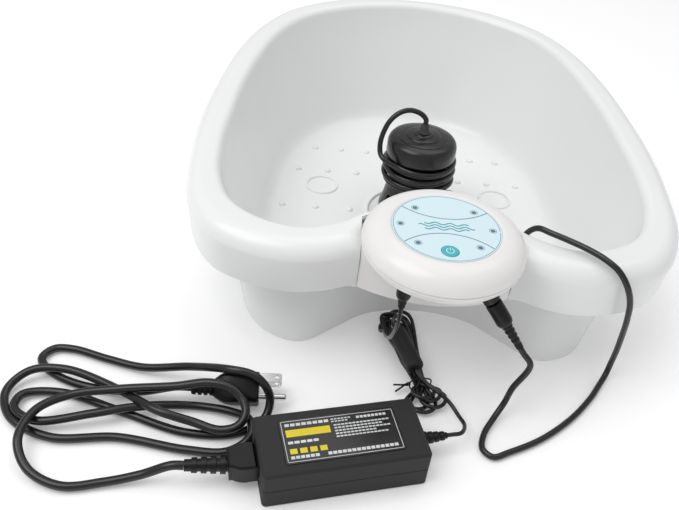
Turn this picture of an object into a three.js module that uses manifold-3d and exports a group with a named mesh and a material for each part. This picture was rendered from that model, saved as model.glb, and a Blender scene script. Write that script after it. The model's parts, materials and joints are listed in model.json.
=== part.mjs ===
// A foot spa basin: a moulded tub with a deep rim, a control head seated in a pocket in its front rim,
// a water array that stands on the tub floor with its cable wound round its waist, and an in-line
// power supply with its mains lead. Millimetres, +Z up. The origin is on the ground at the middle of
// the box round the tub and the head; -Y is the side that the control head faces.
import * as THREE from "three";
import { mergeVertices } from "three/addons/utils/BufferGeometryUtils.js";
import Module from "manifold-3d";

const wasm = await Module();
wasm.setup();

// ---------------------------------------------------------------- driving dimensions
const GAP = 0.3; // between pieces that rest on each other
const RUN = 0.35; // round a piece that slides in another

const TUB = {
  width: 384,
  depth: 437,
  samples: 64, // points round each outline
  wall: 3.0,
  footWall: 3.2, // thickness of the standing ring
  floor: 11.4, // height of the floor's upper face
  floorRadius: 14, // where the floor turns up into the wall
  crestFront: 108.2, // height of the rim at the front
  crestSlope: 0.058, // rise of the rim per mm towards the back
  crestFrontY: -195,
  skirtDrop: 41.5, // from the crest down to the skirt's lower edge
  skirtDraft: 2.5,
  shoulder: 13, // outer rounding of the rim
  innerRound: 7, // inner rounding of the rim
  seatDip: 9.6, // how far the rim is lowered behind the head
  seatDipHalf: 41,
  seatDipEnd: 62,
};
const FOOT_RING = { r: 15, width: 2.6, height: 1.8, x: 86, y: 34 };
const NUB = { r: 3.4, height: 2.6 };

const HEAD = {
  y: -184, // centre of the round head
  rCover: 56.5,
  seamZ: TUB.crestFront + 4.2,
  topZ: TUB.crestFront + 19.1, // upper face of the label
  underZ: TUB.crestFront - 5.8, // flat underside of the pan
  panFloor: 2.6,
  skin: 2.2, // wall of both shells at the seam
  hangerDrop: 35.9, // from the pan's underside down to the hanger's
  hangerWall: 2.2,
};
// The pocket keeps a little inside the head's own outline, so the head covers it.
const POCKET = {
  half: HEAD.rCover - 1.1,
  frontSide: HEAD.y + 1,
  frontMid: HEAD.y - 13,
  backSide: HEAD.y + 30.5,
  backMid: HEAD.y + HEAD.rCover - 4,
};
const panR = HEAD.rCover - HEAD.skin; // inner radius of both shells at the seam
const hangerBottom = HEAD.underZ - HEAD.hangerDrop;
const LABEL = { r: HEAD.rCover - 19.3, thick: 0.6 };
const BUTTON = { r: 5.75, y: 10.7 - LABEL.r, proud: 0.5, flangeR: 7.2 };
const WINDOW = { r: 1.7, inset: 5.9, slantInset: 8.56, slant: 44.3 };
const BOARD = { r: panR - 12.3, bottom: HEAD.underZ + 5.5, thick: 1.6 };
const SCREW = { spread: panR - 7.1, angles: [90, 210, 330], shank: 1.3, headR: 2.8, headH: 1.8, length: 12 };

const DC_PLUG = { x: -26.5, y: HEAD.y - 37.5, r: 5, length: 17, boot: 9, barrelR: 2.75, barrelLength: 9.5 };
const ARRAY_PLUG = {
  at: [33.9, HEAD.y - 33.9, HEAD.underZ - 8.9], // where the body starts below the socket's collar
  along: [0.6, -0.25, -0.76],
  r: 5.8,
  length: 19,
  boot: 20,
  barrelR: 2.6,
  barrelLength: 9,
};

// Heights in the array are above the tub's floor.
const ARRAY = {
  y: -3,
  baseR: 31.5,
  plate: 3.4, // thickness of the base plate
  footTop: 10.6, // top of the upright foot
  waistR: 25.5,
  waistFrom: 35.6,
  waistTo: 66.6,
  boreR: 21,
  capR: 31,
  capTop: 83.6,
  slots: 6,
  slotWidth: 7,
  slotHeight: 18,
};
const WRAP = {
  inner: ARRAY.waistR + 0.4,
  outer: ARRAY.waistR + 9.3,
  from: ARRAY.waistFrom + 3.5,
  to: ARRAY.waistTo - 0.8,
};
const SEAT_RING = { r: ARRAY.baseR + 10, width: 3.2, height: 2.4 };

const ADAPTER = { x: -59.7, y: -286.3, turn: 14.5, length: 109, width: 49, height: 30, wall: 2, corner: 3 };
const split = ADAPTER.height / 2; // where the case's two halves meet
const ADAPTER_LABEL = { length: ADAPTER.length - 31.6, width: ADAPTER.width - 14.7, thick: 0.35 };
const INLET = { width: 24, height: 18, depth: 16, z: split };
const CONNECTOR = { body: 18.5, boot: 27, bootTurn: -8, noseReach: 9, noseHalf: [8.4, 6.2] };
// The wall plug lies on its flank, rolled about its own axis; its blades are one above the other.
const WALL_PLUG = {
  x: -118, y: -231.6, z: 15.4, turn: 3, roll: 27,
  length: 32, boot: 15, bootR: 5.4,
  back: 3.8, front: 18, halfAtBlades: 12.5, halfAtPin: 8.5,
  bladeHalfGap: 6.35, pinOffset: 11.9,
};
// The lead is folded to and fro, and a twisted tie holds its waist.
const HANK = { from: [-18, -152], to: [2, -226], end: 13, waist: 7.4, bottom: 1.4, height: 8.2 };
const SLEEVE = { from: [-19, -171, 16.7], to: [-5.8, -209.5, 16.7], r: 6.7, bore: 1.9 };

const MAINS_CORD_D = 6.0;
const ARRAY_CORD_D = 4.5;
const DC_CORD_D = 3.0;

// ---------------------------------------------------------------- finishes
function finish(color, roughness, metalness = 0) {
  return new THREE.MeshStandardMaterial({ color, roughness, metalness });
}
const WHITE = finish(0xf1f2f2, 0.32);
const WARM_WHITE = finish(0xf0eeec, 0.3);
const PALE_BLUE = finish(0xd9eef5, 0.35);
const TEAL = finish(0x4db8c0, 0.4);
const CLEAR = finish(0x4b7c86, 0.15);
const BLACK_GLOSS = finish(0x161616, 0.28);
const BLACK_MATTE = finish(0x1d1d1e, 0.55);
const BLACK_PVC = finish(0x151515, 0.32);
const RUBBER = finish(0x3a3a3c, 0.8);
const BRIGHT_METAL = finish(0xd2d4d6, 0.22, 1);
const BOARD_GREEN = finish(0x1f6b3d, 0.5);
const YELLOW_TAPE = finish(0xd8b92f, 0.5);
const BLUE_SLEEVE = finish(0x23408f, 0.4);

// ---------------------------------------------------------------- solids
function toSolid(geometry) {
  const bare = geometry.index ? geometry.toNonIndexed() : geometry.clone();
  for (const name of Object.keys(bare.attributes)) if (name !== "position") bare.deleteAttribute(name);
  const merged = mergeVertices(bare, 1e-4);
  const made = new wasm.Manifold(
    new wasm.Mesh({
      numProp: 3,
      vertProperties: Float32Array.from(merged.attributes.position.array),
      triVerts: Uint32Array.from(merged.index.array),
    }),
  );
  return made;
}

function toGeometry(solid) {
  const mesh = solid.getMesh();
  const geometry = new THREE.BufferGeometry();
  geometry.setAttribute("position", new THREE.BufferAttribute(Float32Array.from(mesh.vertProperties), 3));
  geometry.setIndex(new THREE.BufferAttribute(Uint32Array.from(mesh.triVerts), 1));
  return geometry;
}

function join(first, ...others) {
  return toGeometry(others.reduce((sum, g) => sum.add(toSolid(g)), toSolid(first)));
}

function cut(first, ...tools) {
  return toGeometry(tools.reduce((left, g) => left.subtract(toSolid(g)), toSolid(first)));
}

// ---------------------------------------------------------------- basic shapes
const at = (geometry, x, y, z) => geometry.clone().translate(x, y, z);

/** A box on the ground plane of its own frame: x and y centred, z from 0 to h. */
const block = (w, d, h) => new THREE.BoxGeometry(w, d, h).translate(0, 0, h / 2);

/** An upright cylinder or cone from z0 to z1. */
function rod(rBottom, rTop, z0, z1, sides = 16) {
  const geometry = new THREE.CylinderGeometry(rTop, rBottom, z1 - z0, sides);
  return geometry.rotateX(Math.PI / 2).translate(0, 0, (z0 + z1) / 2);
}

/** A profile of [radius, z] points turned round +Z. It closes on the axis or on itself. */
function turned(profile, sides = 28) {
  const points = profile.map(([r, z]) => new THREE.Vector2(r, z));
  const geometry = new THREE.LatheGeometry(points, sides).rotateX(Math.PI / 2);
  return facingOut(geometry);
}

/** Turns the faces round when they point inwards. */
function facingOut(geometry) {
  for (const name of ["uv", "normal"]) geometry.deleteAttribute(name);
  const merged = mergeVertices(geometry, 1e-4);
  const p = merged.attributes.position;
  const index = merged.index.array;
  let volume = 0;
  const [a, b, c] = [new THREE.Vector3(), new THREE.Vector3(), new THREE.Vector3()];
  const kept = [];
  for (let i = 0; i < index.length; i += 3) {
    const [ia, ib, ic] = [index[i], index[i + 1], index[i + 2]];
    if (ia === ib || ib === ic || ia === ic) continue;
    kept.push(ia, ib, ic);
    a.fromBufferAttribute(p, ia);
    b.fromBufferAttribute(p, ib);
    c.fromBufferAttribute(p, ic);
    volume += a.dot(b.cross(c));
  }
  for (let i = 0; volume < 0 && i < kept.length; i += 3) {
    [kept[i + 1], kept[i + 2]] = [kept[i + 2], kept[i + 1]];
  }
  merged.setIndex(kept);
  return merged;
}

/** A closed ring of rectangular section. */
const ring = (rIn, rOut, z0, z1, sides = 28) =>
  turned([[rIn, z0], [rOut, z0], [rOut, z1], [rIn, z1], [rIn, z0]], sides);

/** A rectangle in plan with rounded corners, from z0 to z1. */
function slab(length, width, corner, z0, z1, bevel = 0) {
  const shape = new THREE.Shape();
  const [x, y] = [length / 2 - bevel, width / 2 - bevel];
  const r = Math.max(corner - bevel, 0.2);
  shape.moveTo(-x + r, -y).lineTo(x - r, -y).absarc(x - r, -y + r, r, -Math.PI / 2, 0);
  shape.lineTo(x, y - r).absarc(x - r, y - r, r, 0, Math.PI / 2);
  shape.lineTo(-x + r, y).absarc(-x + r, y - r, r, Math.PI / 2, Math.PI);
  shape.lineTo(-x, -y + r).absarc(-x + r, -y + r, r, Math.PI, 1.5 * Math.PI);
  const options = { depth: z1 - z0 - bevel, bevelEnabled: false, curveSegments: 3 };
  if (bevel > 0) {
    Object.assign(options, { bevelEnabled: true, bevelThickness: bevel, bevelSize: bevel, bevelSegments: 1 });
  }
  const geometry = new THREE.ExtrudeGeometry(shape, options).translate(0, 0, z0);
  if (bevel === 0) return geometry;
  const flat = new THREE.BoxGeometry(length * 2, width * 2, bevel * 4).translate(0, 0, z0 - bevel * 2);
  return cut(geometry, flat);
}

/** A round tube along a curve, with flat ends. */
function tube(curve, diameter, steps, sides) {
  const section = new THREE.Shape();
  for (let i = 0; i < sides; i++) {
    const turn = (2 * Math.PI * i) / sides;
    const [x, y] = [(diameter / 2) * Math.cos(turn), (diameter / 2) * Math.sin(turn)];
    if (i === 0) section.moveTo(x, y);
    else section.lineTo(x, y);
  }
  section.closePath();
  return facingOut(new THREE.ExtrudeGeometry(section, { steps, extrudePath: curve, bevelEnabled: false }));
}

const curveThrough = (points) =>
  new THREE.CatmullRomCurve3(points.map((p) => new THREE.Vector3(...p)), false, "centripetal");

// ---------------------------------------------------------------- the scene graph
const spa = new THREE.Group();

function group(x = 0, y = 0, z = 0, turnDegrees = 0, parent = spa) {
  const made = new THREE.Group();
  made.position.set(x, y, z);
  made.rotation.z = THREE.MathUtils.degToRad(turnDegrees);
  parent.add(made);
  return made;
}

function add(name, geometry, material, parent = spa) {
  geometry.computeVertexNormals();
  const mesh = new THREE.Mesh(geometry, material);
  mesh.name = name;
  parent.add(mesh);
  return mesh;
}

// ---------------------------------------------------------------- the tub
// Each outline is its right half, from the front middle round to the back middle. The points of the
// four outlines answer each other, so that the walls run straight from one to the next.
const OUTLINE = {
  outer: [
    [0, -172], [32, -176], [58, -184.5], [80, -193], [105, -196.5], [137, -190], [163, -175], [183, -140],
    [191.5, -76], [192, -25], [188, 25], [179.5, 85], [163, 142], [138, 185], [104, 213.5], [60, 233],
    [0, 240.5],
  ],
  inner: [
    [0, -123.7], [28.5, -128.5], [51.3, -140.8], [71, -157], [98, -167], [127, -160.5], [149, -143.5],
    [161.5, -115], [166, -72], [164.5, -22], [161, 25], [152, 82], [137, 134], [115, 170], [86, 192.5],
    [50, 208.5], [0, 217],
  ],
  floor: [
    [0, -112], [24, -116], [45.6, -125], [65, -141], [90, -154], [112, -150], [126, -134], [134, -107],
    [137.5, -68], [137.5, -22], [136, 22], [131, 72], [119.5, 112], [98, 148], [72, 171], [42, 184], [0, 187],
  ],
  base: [
    [0, -128.5], [24, -131], [45, -139], [66, -156], [93, -175], [119, -167.5], [136, -147], [147, -112],
    [151, -68], [151, -22], [148.5, 25], [143, 78], [130.5, 120], [108, 157], [80, 181], [47, 195], [0, 200],
  ],
};

const DRAWN = { width: 384, depth: 437, frontY: -196.5 }; // the size that the outlines are drawn at
const scaleX = TUB.width / DRAWN.width;
const scaleY = TUB.depth / DRAWN.depth;

/** A drawn point at the tub's own width and depth. The front stays where it is. */
const sized = ([x, y]) => [x * scaleX, DRAWN.frontY + (y - DRAWN.frontY) * scaleY];

/** Evenly spaced points round a whole outline, made from its right half. */
function sampleOutline(half) {
  const left = half.slice(1, -1).reverse().map(([x, y]) => [-x, y]);
  const points = [...half, ...left].map((p) => new THREE.Vector3(...sized(p), 0));
  const curve = new THREE.CatmullRomCurve3(points, true, "centripetal");
  return Array.from({ length: TUB.samples }, (_, i) => {
    const p = curve.getPoint(i / TUB.samples);
    return [p.x, p.y];
  });
}

/** The outline moved outwards by d, or inwards where d is negative. */
function offset(outline, d) {
  const n = outline.length;
  return outline.map(([x, y], i) => {
    const [xa, ya] = outline[(i + n - 1) % n];
    const [xb, yb] = outline[(i + 1) % n];
    const length = Math.hypot(xb - xa, yb - ya);
    return [x + (d * (yb - ya)) / length, y - (d * (xb - xa)) / length];
  });
}

const between = (a, b, t) => a.map(([x, y], i) => [x + (b[i][0] - x) * t, y + (b[i][1] - y) * t]);
const outer = sampleOutline(OUTLINE.outer);
const inner = sampleOutline(OUTLINE.inner);
const floorEdge = sampleOutline(OUTLINE.floor);
const base = sampleOutline(OUTLINE.base);

/** Height of the rim's crest over a point of the plan. */
function crest([x, y]) {
  const plain = TUB.crestFront + TUB.crestSlope * (y - TUB.crestFrontY);
  if (y > -100) return plain;
  const t = THREE.MathUtils.clamp((TUB.seatDipEnd - Math.abs(x)) / (TUB.seatDipEnd - TUB.seatDipHalf), 0, 1);
  return plain - TUB.seatDip * t * t * (3 - 2 * t);
}

const crestHeights = outer.map(crest);
const flat = (outline, z) => outline.map(([x, y]) => [x, y, z]);
const belowCrest = (outline, drop) => outline.map(([x, y], i) => [x, y, crestHeights[i] - drop]);

/** A closed skin through rings of equally many points, closed at both ends by a fan. */
function loft(rings) {
  const n = rings[0].length;
  const middle = (r) => [0, 1, 2].map((k) => r.reduce((sum, p) => sum + p[k], 0) / n);
  const points = [middle(rings[0]), ...rings.flat(), middle(rings[rings.length - 1])];
  const index = [];
  const id = (j, i) => 1 + j * n + ((i + n) % n);
  const [end, last] = [rings.length - 1, points.length - 1];
  for (let i = 0; i < n; i++) {
    index.push(0, id(0, i + 1), id(0, i), last, id(end, i), id(end, i + 1));
    for (let j = 0; j < end; j++) {
      index.push(id(j, i), id(j, i + 1), id(j + 1, i), id(j, i + 1), id(j + 1, i + 1), id(j + 1, i));
    }
  }
  const geometry = new THREE.BufferGeometry();
  geometry.setAttribute("position", new THREE.Float32BufferAttribute(points.flat(), 3));
  geometry.setIndex(index);
  return facingOut(geometry);
}

/** Rings of a rim corner that turns from upright (0) to level (90 degrees). */
function corner(outline, inwards, radius, centreDrop, steps, fromDegrees, toDegrees) {
  return Array.from({ length: steps + 1 }, (_, k) => {
    const turn = THREE.MathUtils.degToRad(fromDegrees + ((toDegrees - fromDegrees) * k) / steps);
    return belowCrest(offset(outline, inwards + radius * Math.cos(turn)), centreDrop - radius * Math.sin(turn));
  });
}

function tubShell() {
  const { wall, footWall, floor, floorRadius, shoulder, innerRound, skirtDrop, skirtDraft } = TUB;
  const under = floor - wall;
  const innerSkirt = corner(outer, -shoulder, shoulder - wall, shoulder, 2, 90, 0);
  const outerSkirt = corner(outer, -shoulder, shoulder, shoulder, 3, 0, 90);
  const lip = [90, 60, 30, 0].map((degrees) => {
    const turn = THREE.MathUtils.degToRad(degrees);
    return belowCrest(offset(inner, innerRound * (1 - Math.cos(turn))), innerRound * (1 - Math.sin(turn)));
  });
  const wallFoot = between(floorEdge, inner, 0.1);
  return loft([
    flat(offset(base, -footWall), under),
    flat(offset(base, -footWall), 0),
    flat(base, 0),
    belowCrest(offset(inner, wall), wall + 4),
    belowCrest(offset(inner, innerRound), wall),
    ...innerSkirt,
    belowCrest(offset(outer, -wall - skirtDraft), skirtDrop),
    belowCrest(offset(outer, -skirtDraft), skirtDrop),
    ...outerSkirt,
    ...lip,
    flat(wallFoot, floor + floorRadius),
    flat(between(wallFoot, offset(floorEdge, -3), 0.42), floor + floorRadius * 0.3),
    flat(offset(floorEdge, -5), floor),
  ]);
}

/** The outline of the head's pocket in plan, shrunk by d all round. */
function pocketShape(d) {
  const x = POCKET.half - d;
  const front = POCKET.frontSide + d;
  const side = POCKET.backSide - d;
  const mid = POCKET.backMid - d;
  const shape = new THREE.Shape();
  shape.moveTo(-x, front);
  shape.quadraticCurveTo(0, 2 * (POCKET.frontMid + d) - front, x, front);
  shape.lineTo(x, side);
  shape.bezierCurveTo(x * 0.72, side + (mid - side) * 0.55, x * 0.45, mid, 0, mid);
  shape.bezierCurveTo(-x * 0.45, mid, -x * 0.72, side + (mid - side) * 0.55, -x, side);
  shape.closePath();
  return shape;
}

const upright = (shape, z0, z1, curveSegments = 5) =>
  new THREE.ExtrudeGeometry(shape, { depth: z1 - z0, bevelEnabled: false, curveSegments }).translate(0, 0, z0);

/** The pocket's cutter: the head's own outline, opened out through the skirt in front. */
function pocketCutter() {
  const low = hangerBottom - 12;
  const high = TUB.crestFront + 20;
  const inFront = new THREE.Shape();
  const x = POCKET.half;
  inFront.moveTo(-x, POCKET.frontSide - 30).lineTo(x, POCKET.frontSide - 30);
  inFront.lineTo(x, POCKET.frontSide + 2).lineTo(-x, POCKET.frontSide + 2).closePath();
  return join(upright(pocketShape(0), low, high), upright(inFront, low, high));
}

/** A low dome with its foot sunk in the floor. */
function nub() {
  const { r, height } = NUB;
  return turned([[0, -0.5], [r, -0.5], [r * 0.66, height * 0.8], [0, height]], 7);
}

function ridge(r, width, height, sides) {
  const half = width / 2;
  return turned(
    [[r - half, -1], [r + half, -1], [r + half, height * 0.5], [r + half * 0.4, height],
      [r - half * 0.4, height], [r - half, height * 0.5], [r - half, -1]], sides);
}

const NUB_ROWS = [
  { y: 105, xs: [42, 69, 96] },
  { y: 61, xs: [52, 81.5, 111] },
  { y: -5, xs: [58, 90.5, 122] },
  { y: -49, xs: [58, 86, 113] },
  { y: -92, xs: [52, 80, 107] },
];

function tub() {
  const raised = [at(ridge(SEAT_RING.r, SEAT_RING.width, SEAT_RING.height, 24), 0, ARRAY.y, TUB.floor)];
  for (const side of [-1, 1]) {
    const foot = ridge(FOOT_RING.r, FOOT_RING.width, FOOT_RING.height, 12);
    raised.push(at(foot, side * FOOT_RING.x * scaleX, FOOT_RING.y, TUB.floor));
    for (const { y, xs } of NUB_ROWS) {
      for (const x of xs) raised.push(at(nub(), ...sized([side * x, y]), TUB.floor));
    }
  }
  return join(cut(tubShell(), pocketCutter()), ...raised);
}
add("basin_tub", tub(), WHITE);

// ---------------------------------------------------------------- the control head
const head = group(0, HEAD.y, 0);
const { slant } = WINDOW;
const windowSpots = [0, slant, 180 - slant, 180, 180 + slant, -slant].map((degrees) => {
  const turn = THREE.MathUtils.degToRad(degrees);
  const reach = LABEL.r - (degrees % 180 === 0 ? WINDOW.inset : WINDOW.slantInset);
  return [reach * Math.cos(turn), reach * Math.sin(turn)];
});
const windows = (r, z0, z1, sides = 8) => windowSpots.map(([x, y]) => at(rod(r, r, z0, z1, sides), x, y, 0));
const screwSpots = SCREW.angles.map((degrees) => {
  const turn = THREE.MathUtils.degToRad(degrees);
  return [SCREW.spread * Math.cos(turn), SCREW.spread * Math.sin(turn)];
});
const dcPlace = [DC_PLUG.x, DC_PLUG.y - HEAD.y];

/** Places a geometry made along +Z so that its +Z runs along the array plug's axis, d below its start. */
function onArrayPlugAxis(geometry, d = 0) {
  const along = new THREE.Vector3(...ARRAY_PLUG.along).normalize();
  const turn = new THREE.Quaternion().setFromUnitVectors(new THREE.Vector3(0, 0, 1), along);
  const start = new THREE.Vector3(...ARRAY_PLUG.at).addScaledVector(along, d);
  return geometry.clone().applyQuaternion(turn).translate(start.x, start.y, start.z);
}
const inHead = (geometry) => geometry.clone().translate(0, -HEAD.y, 0);

function topCover() {
  const { rCover: R, seamZ, topZ } = HEAD;
  const shelf = topZ - LABEL.thick - 0.1; // the label's seat
  const skin = 2.1;
  const shell = turned([
    [0, shelf], [LABEL.r + 0.4, shelf], [LABEL.r + 0.4, topZ + 0.2], [R - 14.5, topZ], [R - 9.5, topZ - 1.2],
    [R - 5, topZ - 3.8], [R - 1.9, topZ - 7.2], [R - 0.3, topZ - 11], [R, seamZ + GAP],
    [panR, seamZ + GAP], [panR - 0.3, seamZ + 3.4], [panR - 2.3, topZ - 8.6], [panR - 5.8, topZ - 5.4],
    [panR - 12.3, shelf - skin], [0, shelf - skin],
  ]);
  const bosses = screwSpots.map(([x, y]) => at(rod(3.2, 3.2, HEAD.underZ + 6, shelf - 1.6, 16), x, y, 0));
  const holes = screwSpots.map(([x, y]) => at(rod(1.5, 1.5, HEAD.underZ, topZ - 6, 12), x, y, 0));
  const tops = windows(WINDOW.r, shelf - 5, topZ + 1);
  const keyHole = at(rod(BUTTON.r + RUN, BUTTON.r + RUN, shelf - 8, topZ + 2, 28), 0, BUTTON.y, 0);
  return cut(join(shell, ...bosses), ...holes, ...tops, keyHole);
}
add("head_top_cover", topCover(), WARM_WHITE, head);

function lowerPan() {
  const { rCover: R, seamZ, underZ, panFloor, hangerWall } = HEAD;
  const pan = turned([
    [0, underZ], [R - 10.5, underZ], [R - 5.5, underZ + 1], [R - 2.9, underZ + 3.6], [R - 1.9, underZ + 7],
    [R - 0.4, seamZ - 2.2], [R - 0.2, seamZ], [panR, seamZ], [panR - 1.9, underZ + 5.6],
    [panR - 4.3, underZ + 3.4], [panR - 9.3, underZ + panFloor], [0, underZ + panFloor],
  ]);
  const hanger = inHead(upright(pocketShape(0.4), hangerBottom, underZ + 1));
  const room = inHead(upright(pocketShape(0.4 + hangerWall), hangerBottom + hangerWall, underZ + panFloor + 2));
  const inPan = rod(panR - 10.3, panR - 10.3, underZ - 40, underZ + panFloor + 2, 32);
  const bosses = screwSpots.map(([x, y]) => at(rod(3.6, 3.6, underZ, underZ + 5.4, 16), x, y, 0));
  const shanks = screwSpots.map(([x, y]) => at(rod(1.7, 1.7, underZ - 50, underZ + 12, 10), x, y, 0));
  const sinks = screwSpots.map(([x, y]) => at(rod(3.1, 3.1, underZ - 50, underZ + 2.2, 16), x, y, 0));
  const dcHole = at(rod(5.3, 5.3, underZ - 20, underZ + 8, 24), ...dcPlace, 0);
  const arrayHole = inHead(onArrayPlugAxis(rod(6.3, 6.3, -30, 20, 24)));
  const innerRoom = toGeometry(toSolid(room).intersect(toSolid(inPan)));
  return cut(join(pan, hanger, ...bosses), innerRoom, ...shanks, ...sinks, dcHole, arrayHole);
}
add("head_lower_housing", lowerPan(), WARM_WHITE, head);

add("head_seal_ring", ring(panR - 2.2, panR - 0.7, HEAD.seamZ - 1.4, HEAD.seamZ + 1.6), RUBBER, head);

const labelBottom = HEAD.topZ - LABEL.thick;
add(
  "head_label",
  cut(
    rod(LABEL.r, LABEL.r, labelBottom, HEAD.topZ, 40),
    ...windows(WINDOW.r, labelBottom - 1, HEAD.topZ + 1),
    at(rod(BUTTON.r + RUN, BUTTON.r + RUN, labelBottom - 1, HEAD.topZ + 1, 28), 0, BUTTON.y, 0),
  ),
  PALE_BLUE,
  head,
);

const coverUnder = HEAD.topZ - LABEL.thick - 0.1 - 2.1; // lower face of the cover's flat
function powerButton() {
  const { r, flangeR, proud, y } = BUTTON;
  const cap = rod(r, r, coverUnder - 3, HEAD.topZ + proud - 0.5, 28);
  const top = rod(r, r - 0.8, HEAD.topZ + proud - 0.5, HEAD.topZ + proud, 28);
  const flange = rod(flangeR, flangeR, coverUnder - 2.2, coverUnder - GAP, 24);
  const stem = rod(1.8, 1.8, coverUnder - 6.6, coverUnder - 2.6, 12);
  return at(join(cap, top, flange, stem), 0, y, 0);
}
add("power_button", powerButton(), TEAL, head);

const flangeRoom = BUTTON.flangeR + 1;
function lightPipe() {
  const low = coverUnder - 1.9;
  const plate = ring(LABEL.r - 12.2, LABEL.r - 2.2, low, coverUnder - GAP, 28);
  const spokes = windowSpots.map(([x, y]) => at(block(8, 8, 1.6), x, y, low));
  const pins = windows(WINDOW.r - GAP, low, HEAD.topZ);
  const keyRoom = at(rod(flangeRoom, flangeRoom, low - 1, coverUnder + 1, 24), 0, BUTTON.y, 0);
  return cut(join(plate, ...spokes, ...pins), keyRoom);
}
add("light_pipe", lightPipe(), CLEAR, head);

const boardTop = BOARD.bottom + BOARD.thick;
function controlBoard() {
  const disc = rod(BOARD.r, BOARD.r, BOARD.bottom, boardTop, 32);
  const parts = windowSpots.map(([x, y]) => at(block(3.2, 2.8, 1.4), x, y, boardTop - 0.1));
  const chip = at(block(10, 7, 1.9), 6, 4, boardTop - 0.1);
  const relay = at(block(15, 12, 9), -14, 3, boardTop - 0.1);
  const dcRoom = at(rod(6, 6, BOARD.bottom - 1, boardTop + 1, 20), ...dcPlace, 0);
  const arrayRoom = inHead(onArrayPlugAxis(rod(7, 7, -30, 20, 20)));
  return cut(join(disc, ...parts, chip, relay), dcRoom, arrayRoom);
}
add("control_board", controlBoard(), BOARD_GREEN, head);

const stemLow = coverUnder - 6.6;
add(
  "tact_switch",
  at(
    join(block(6, 6, stemLow - 2 - boardTop - GAP), rod(1.7, 1.7, 0, stemLow - boardTop - GAP - 0.7, 12)),
    0, BUTTON.y, boardTop + GAP,
  ),
  BLACK_MATTE,
  head,
);

/** A screw with its head down, driven up into the cover's boss. */
function screw() {
  const { shank, headR, headH, length } = SCREW;
  const cross = join(block(3, 0.8, 1).translate(0, 0, -0.2), block(0.8, 3, 1).translate(0, 0, -0.2));
  return cut(join(rod(headR, headR, 0, headH, 16), rod(shank, shank, headH - 0.2, length, 12)), cross);
}
screwSpots.forEach(([x, y], i) => {
  add("head_screw_" + (i + 1), at(screw(), x, y, HEAD.underZ + 0.1), BRIGHT_METAL, head);
});

function dcSocket() {
  const body = rod(5, 5, HEAD.underZ + 0.2, HEAD.underZ + 12.4, 24);
  return cut(body, rod(DC_PLUG.barrelR + RUN, DC_PLUG.barrelR + RUN, HEAD.underZ - 1, HEAD.underZ + 10.6, 20));
}
add("dc_socket", at(dcSocket(), ...dcPlace, 0), BLACK_GLOSS, head);

function arraySocket() {
  const body = rod(5.9, 5.9, -15, -GAP - 1.2, 24);
  return cut(body, rod(ARRAY_PLUG.barrelR + RUN, ARRAY_PLUG.barrelR + RUN, -13, 2, 20));
}
add("array_socket", inHead(onArrayPlugAxis(arraySocket())), BLACK_GLOSS, head);

// ---------------------------------------------------------------- plugs at the head
/** A moulded plug body with a ribbed boot, along +Z from 0. */
function plugBody(r, length, bootLength, rCord, ribs) {
  const profile = [[0, 0], [r - 0.6, 0], [r, 0.6], [r, length - 2], [r * 0.74, length]];
  const step = bootLength / ribs;
  for (let i = 0; i < ribs; i++) {
    const z = length + i * step;
    const taper = 1 - (0.36 * i) / ribs;
    profile.push([r * 0.66 * taper, z + step * 0.08], [r * 0.66 * taper, z + step * 0.6]);
    profile.push([Math.max(rCord + 0.35, r * 0.5 * taper), z + step * 0.66]);
    profile.push([Math.max(rCord + 0.35, r * 0.5 * taper), z + step]);
  }
  profile.push([0, length + bootLength]);
  return turned(profile, 12);
}

/** A metal barrel with an open bore, along -Z from the plug's face. */
function barrel(r, length) {
  const bore = r * 0.5;
  const outside = [[bore, -length], [r, -length], [r, -GAP], [0, -GAP]];
  return turned([...outside, [0, -2], [bore, -2], [bore, -length]], 20);
}

const dcPlug = group(DC_PLUG.x, DC_PLUG.y, HEAD.underZ - GAP);
const down = (geometry) => geometry.clone().rotateX(Math.PI);
const dcPlugBody = plugBody(DC_PLUG.r, DC_PLUG.length - DC_PLUG.boot, DC_PLUG.boot, DC_CORD_D / 2, 3);
add("dc_plug", down(dcPlugBody), BLACK_PVC, dcPlug);
add("dc_plug_barrel", down(barrel(DC_PLUG.barrelR, DC_PLUG.barrelLength)), BRIGHT_METAL, dcPlug);

const arrayPlugBody = plugBody(ARRAY_PLUG.r, ARRAY_PLUG.length, ARRAY_PLUG.boot, ARRAY_CORD_D / 2, 5);
add("array_plug", onArrayPlugAxis(arrayPlugBody), BLACK_PVC);
add("array_plug_barrel", onArrayPlugAxis(barrel(ARRAY_PLUG.barrelR, ARRAY_PLUG.barrelLength)), BRIGHT_METAL);

// ---------------------------------------------------------------- the water array
const array = group(0, ARRAY.y, TUB.floor);
const arrayFoot = GAP;
const plateTop = arrayFoot + ARRAY.plate;

function basePlate() {
  const holes = Array.from({ length: 6 }, (_, i) => {
    const turn = (Math.PI * i) / 3;
    const reach = ARRAY.boreR - 4;
    return at(rod(4, 4, arrayFoot - 1, plateTop + 1, 8), reach * Math.cos(turn), reach * Math.sin(turn), 0);
  });
  const disc = turned([[0, arrayFoot], [ARRAY.baseR - 1.5, arrayFoot], [ARRAY.baseR, arrayFoot + 1.5],
    [ARRAY.baseR, plateTop], [0, plateTop]]);
  return cut(disc, ...holes);
}
add("array_base_plate", basePlate(), BLACK_GLOSS, array);

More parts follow.
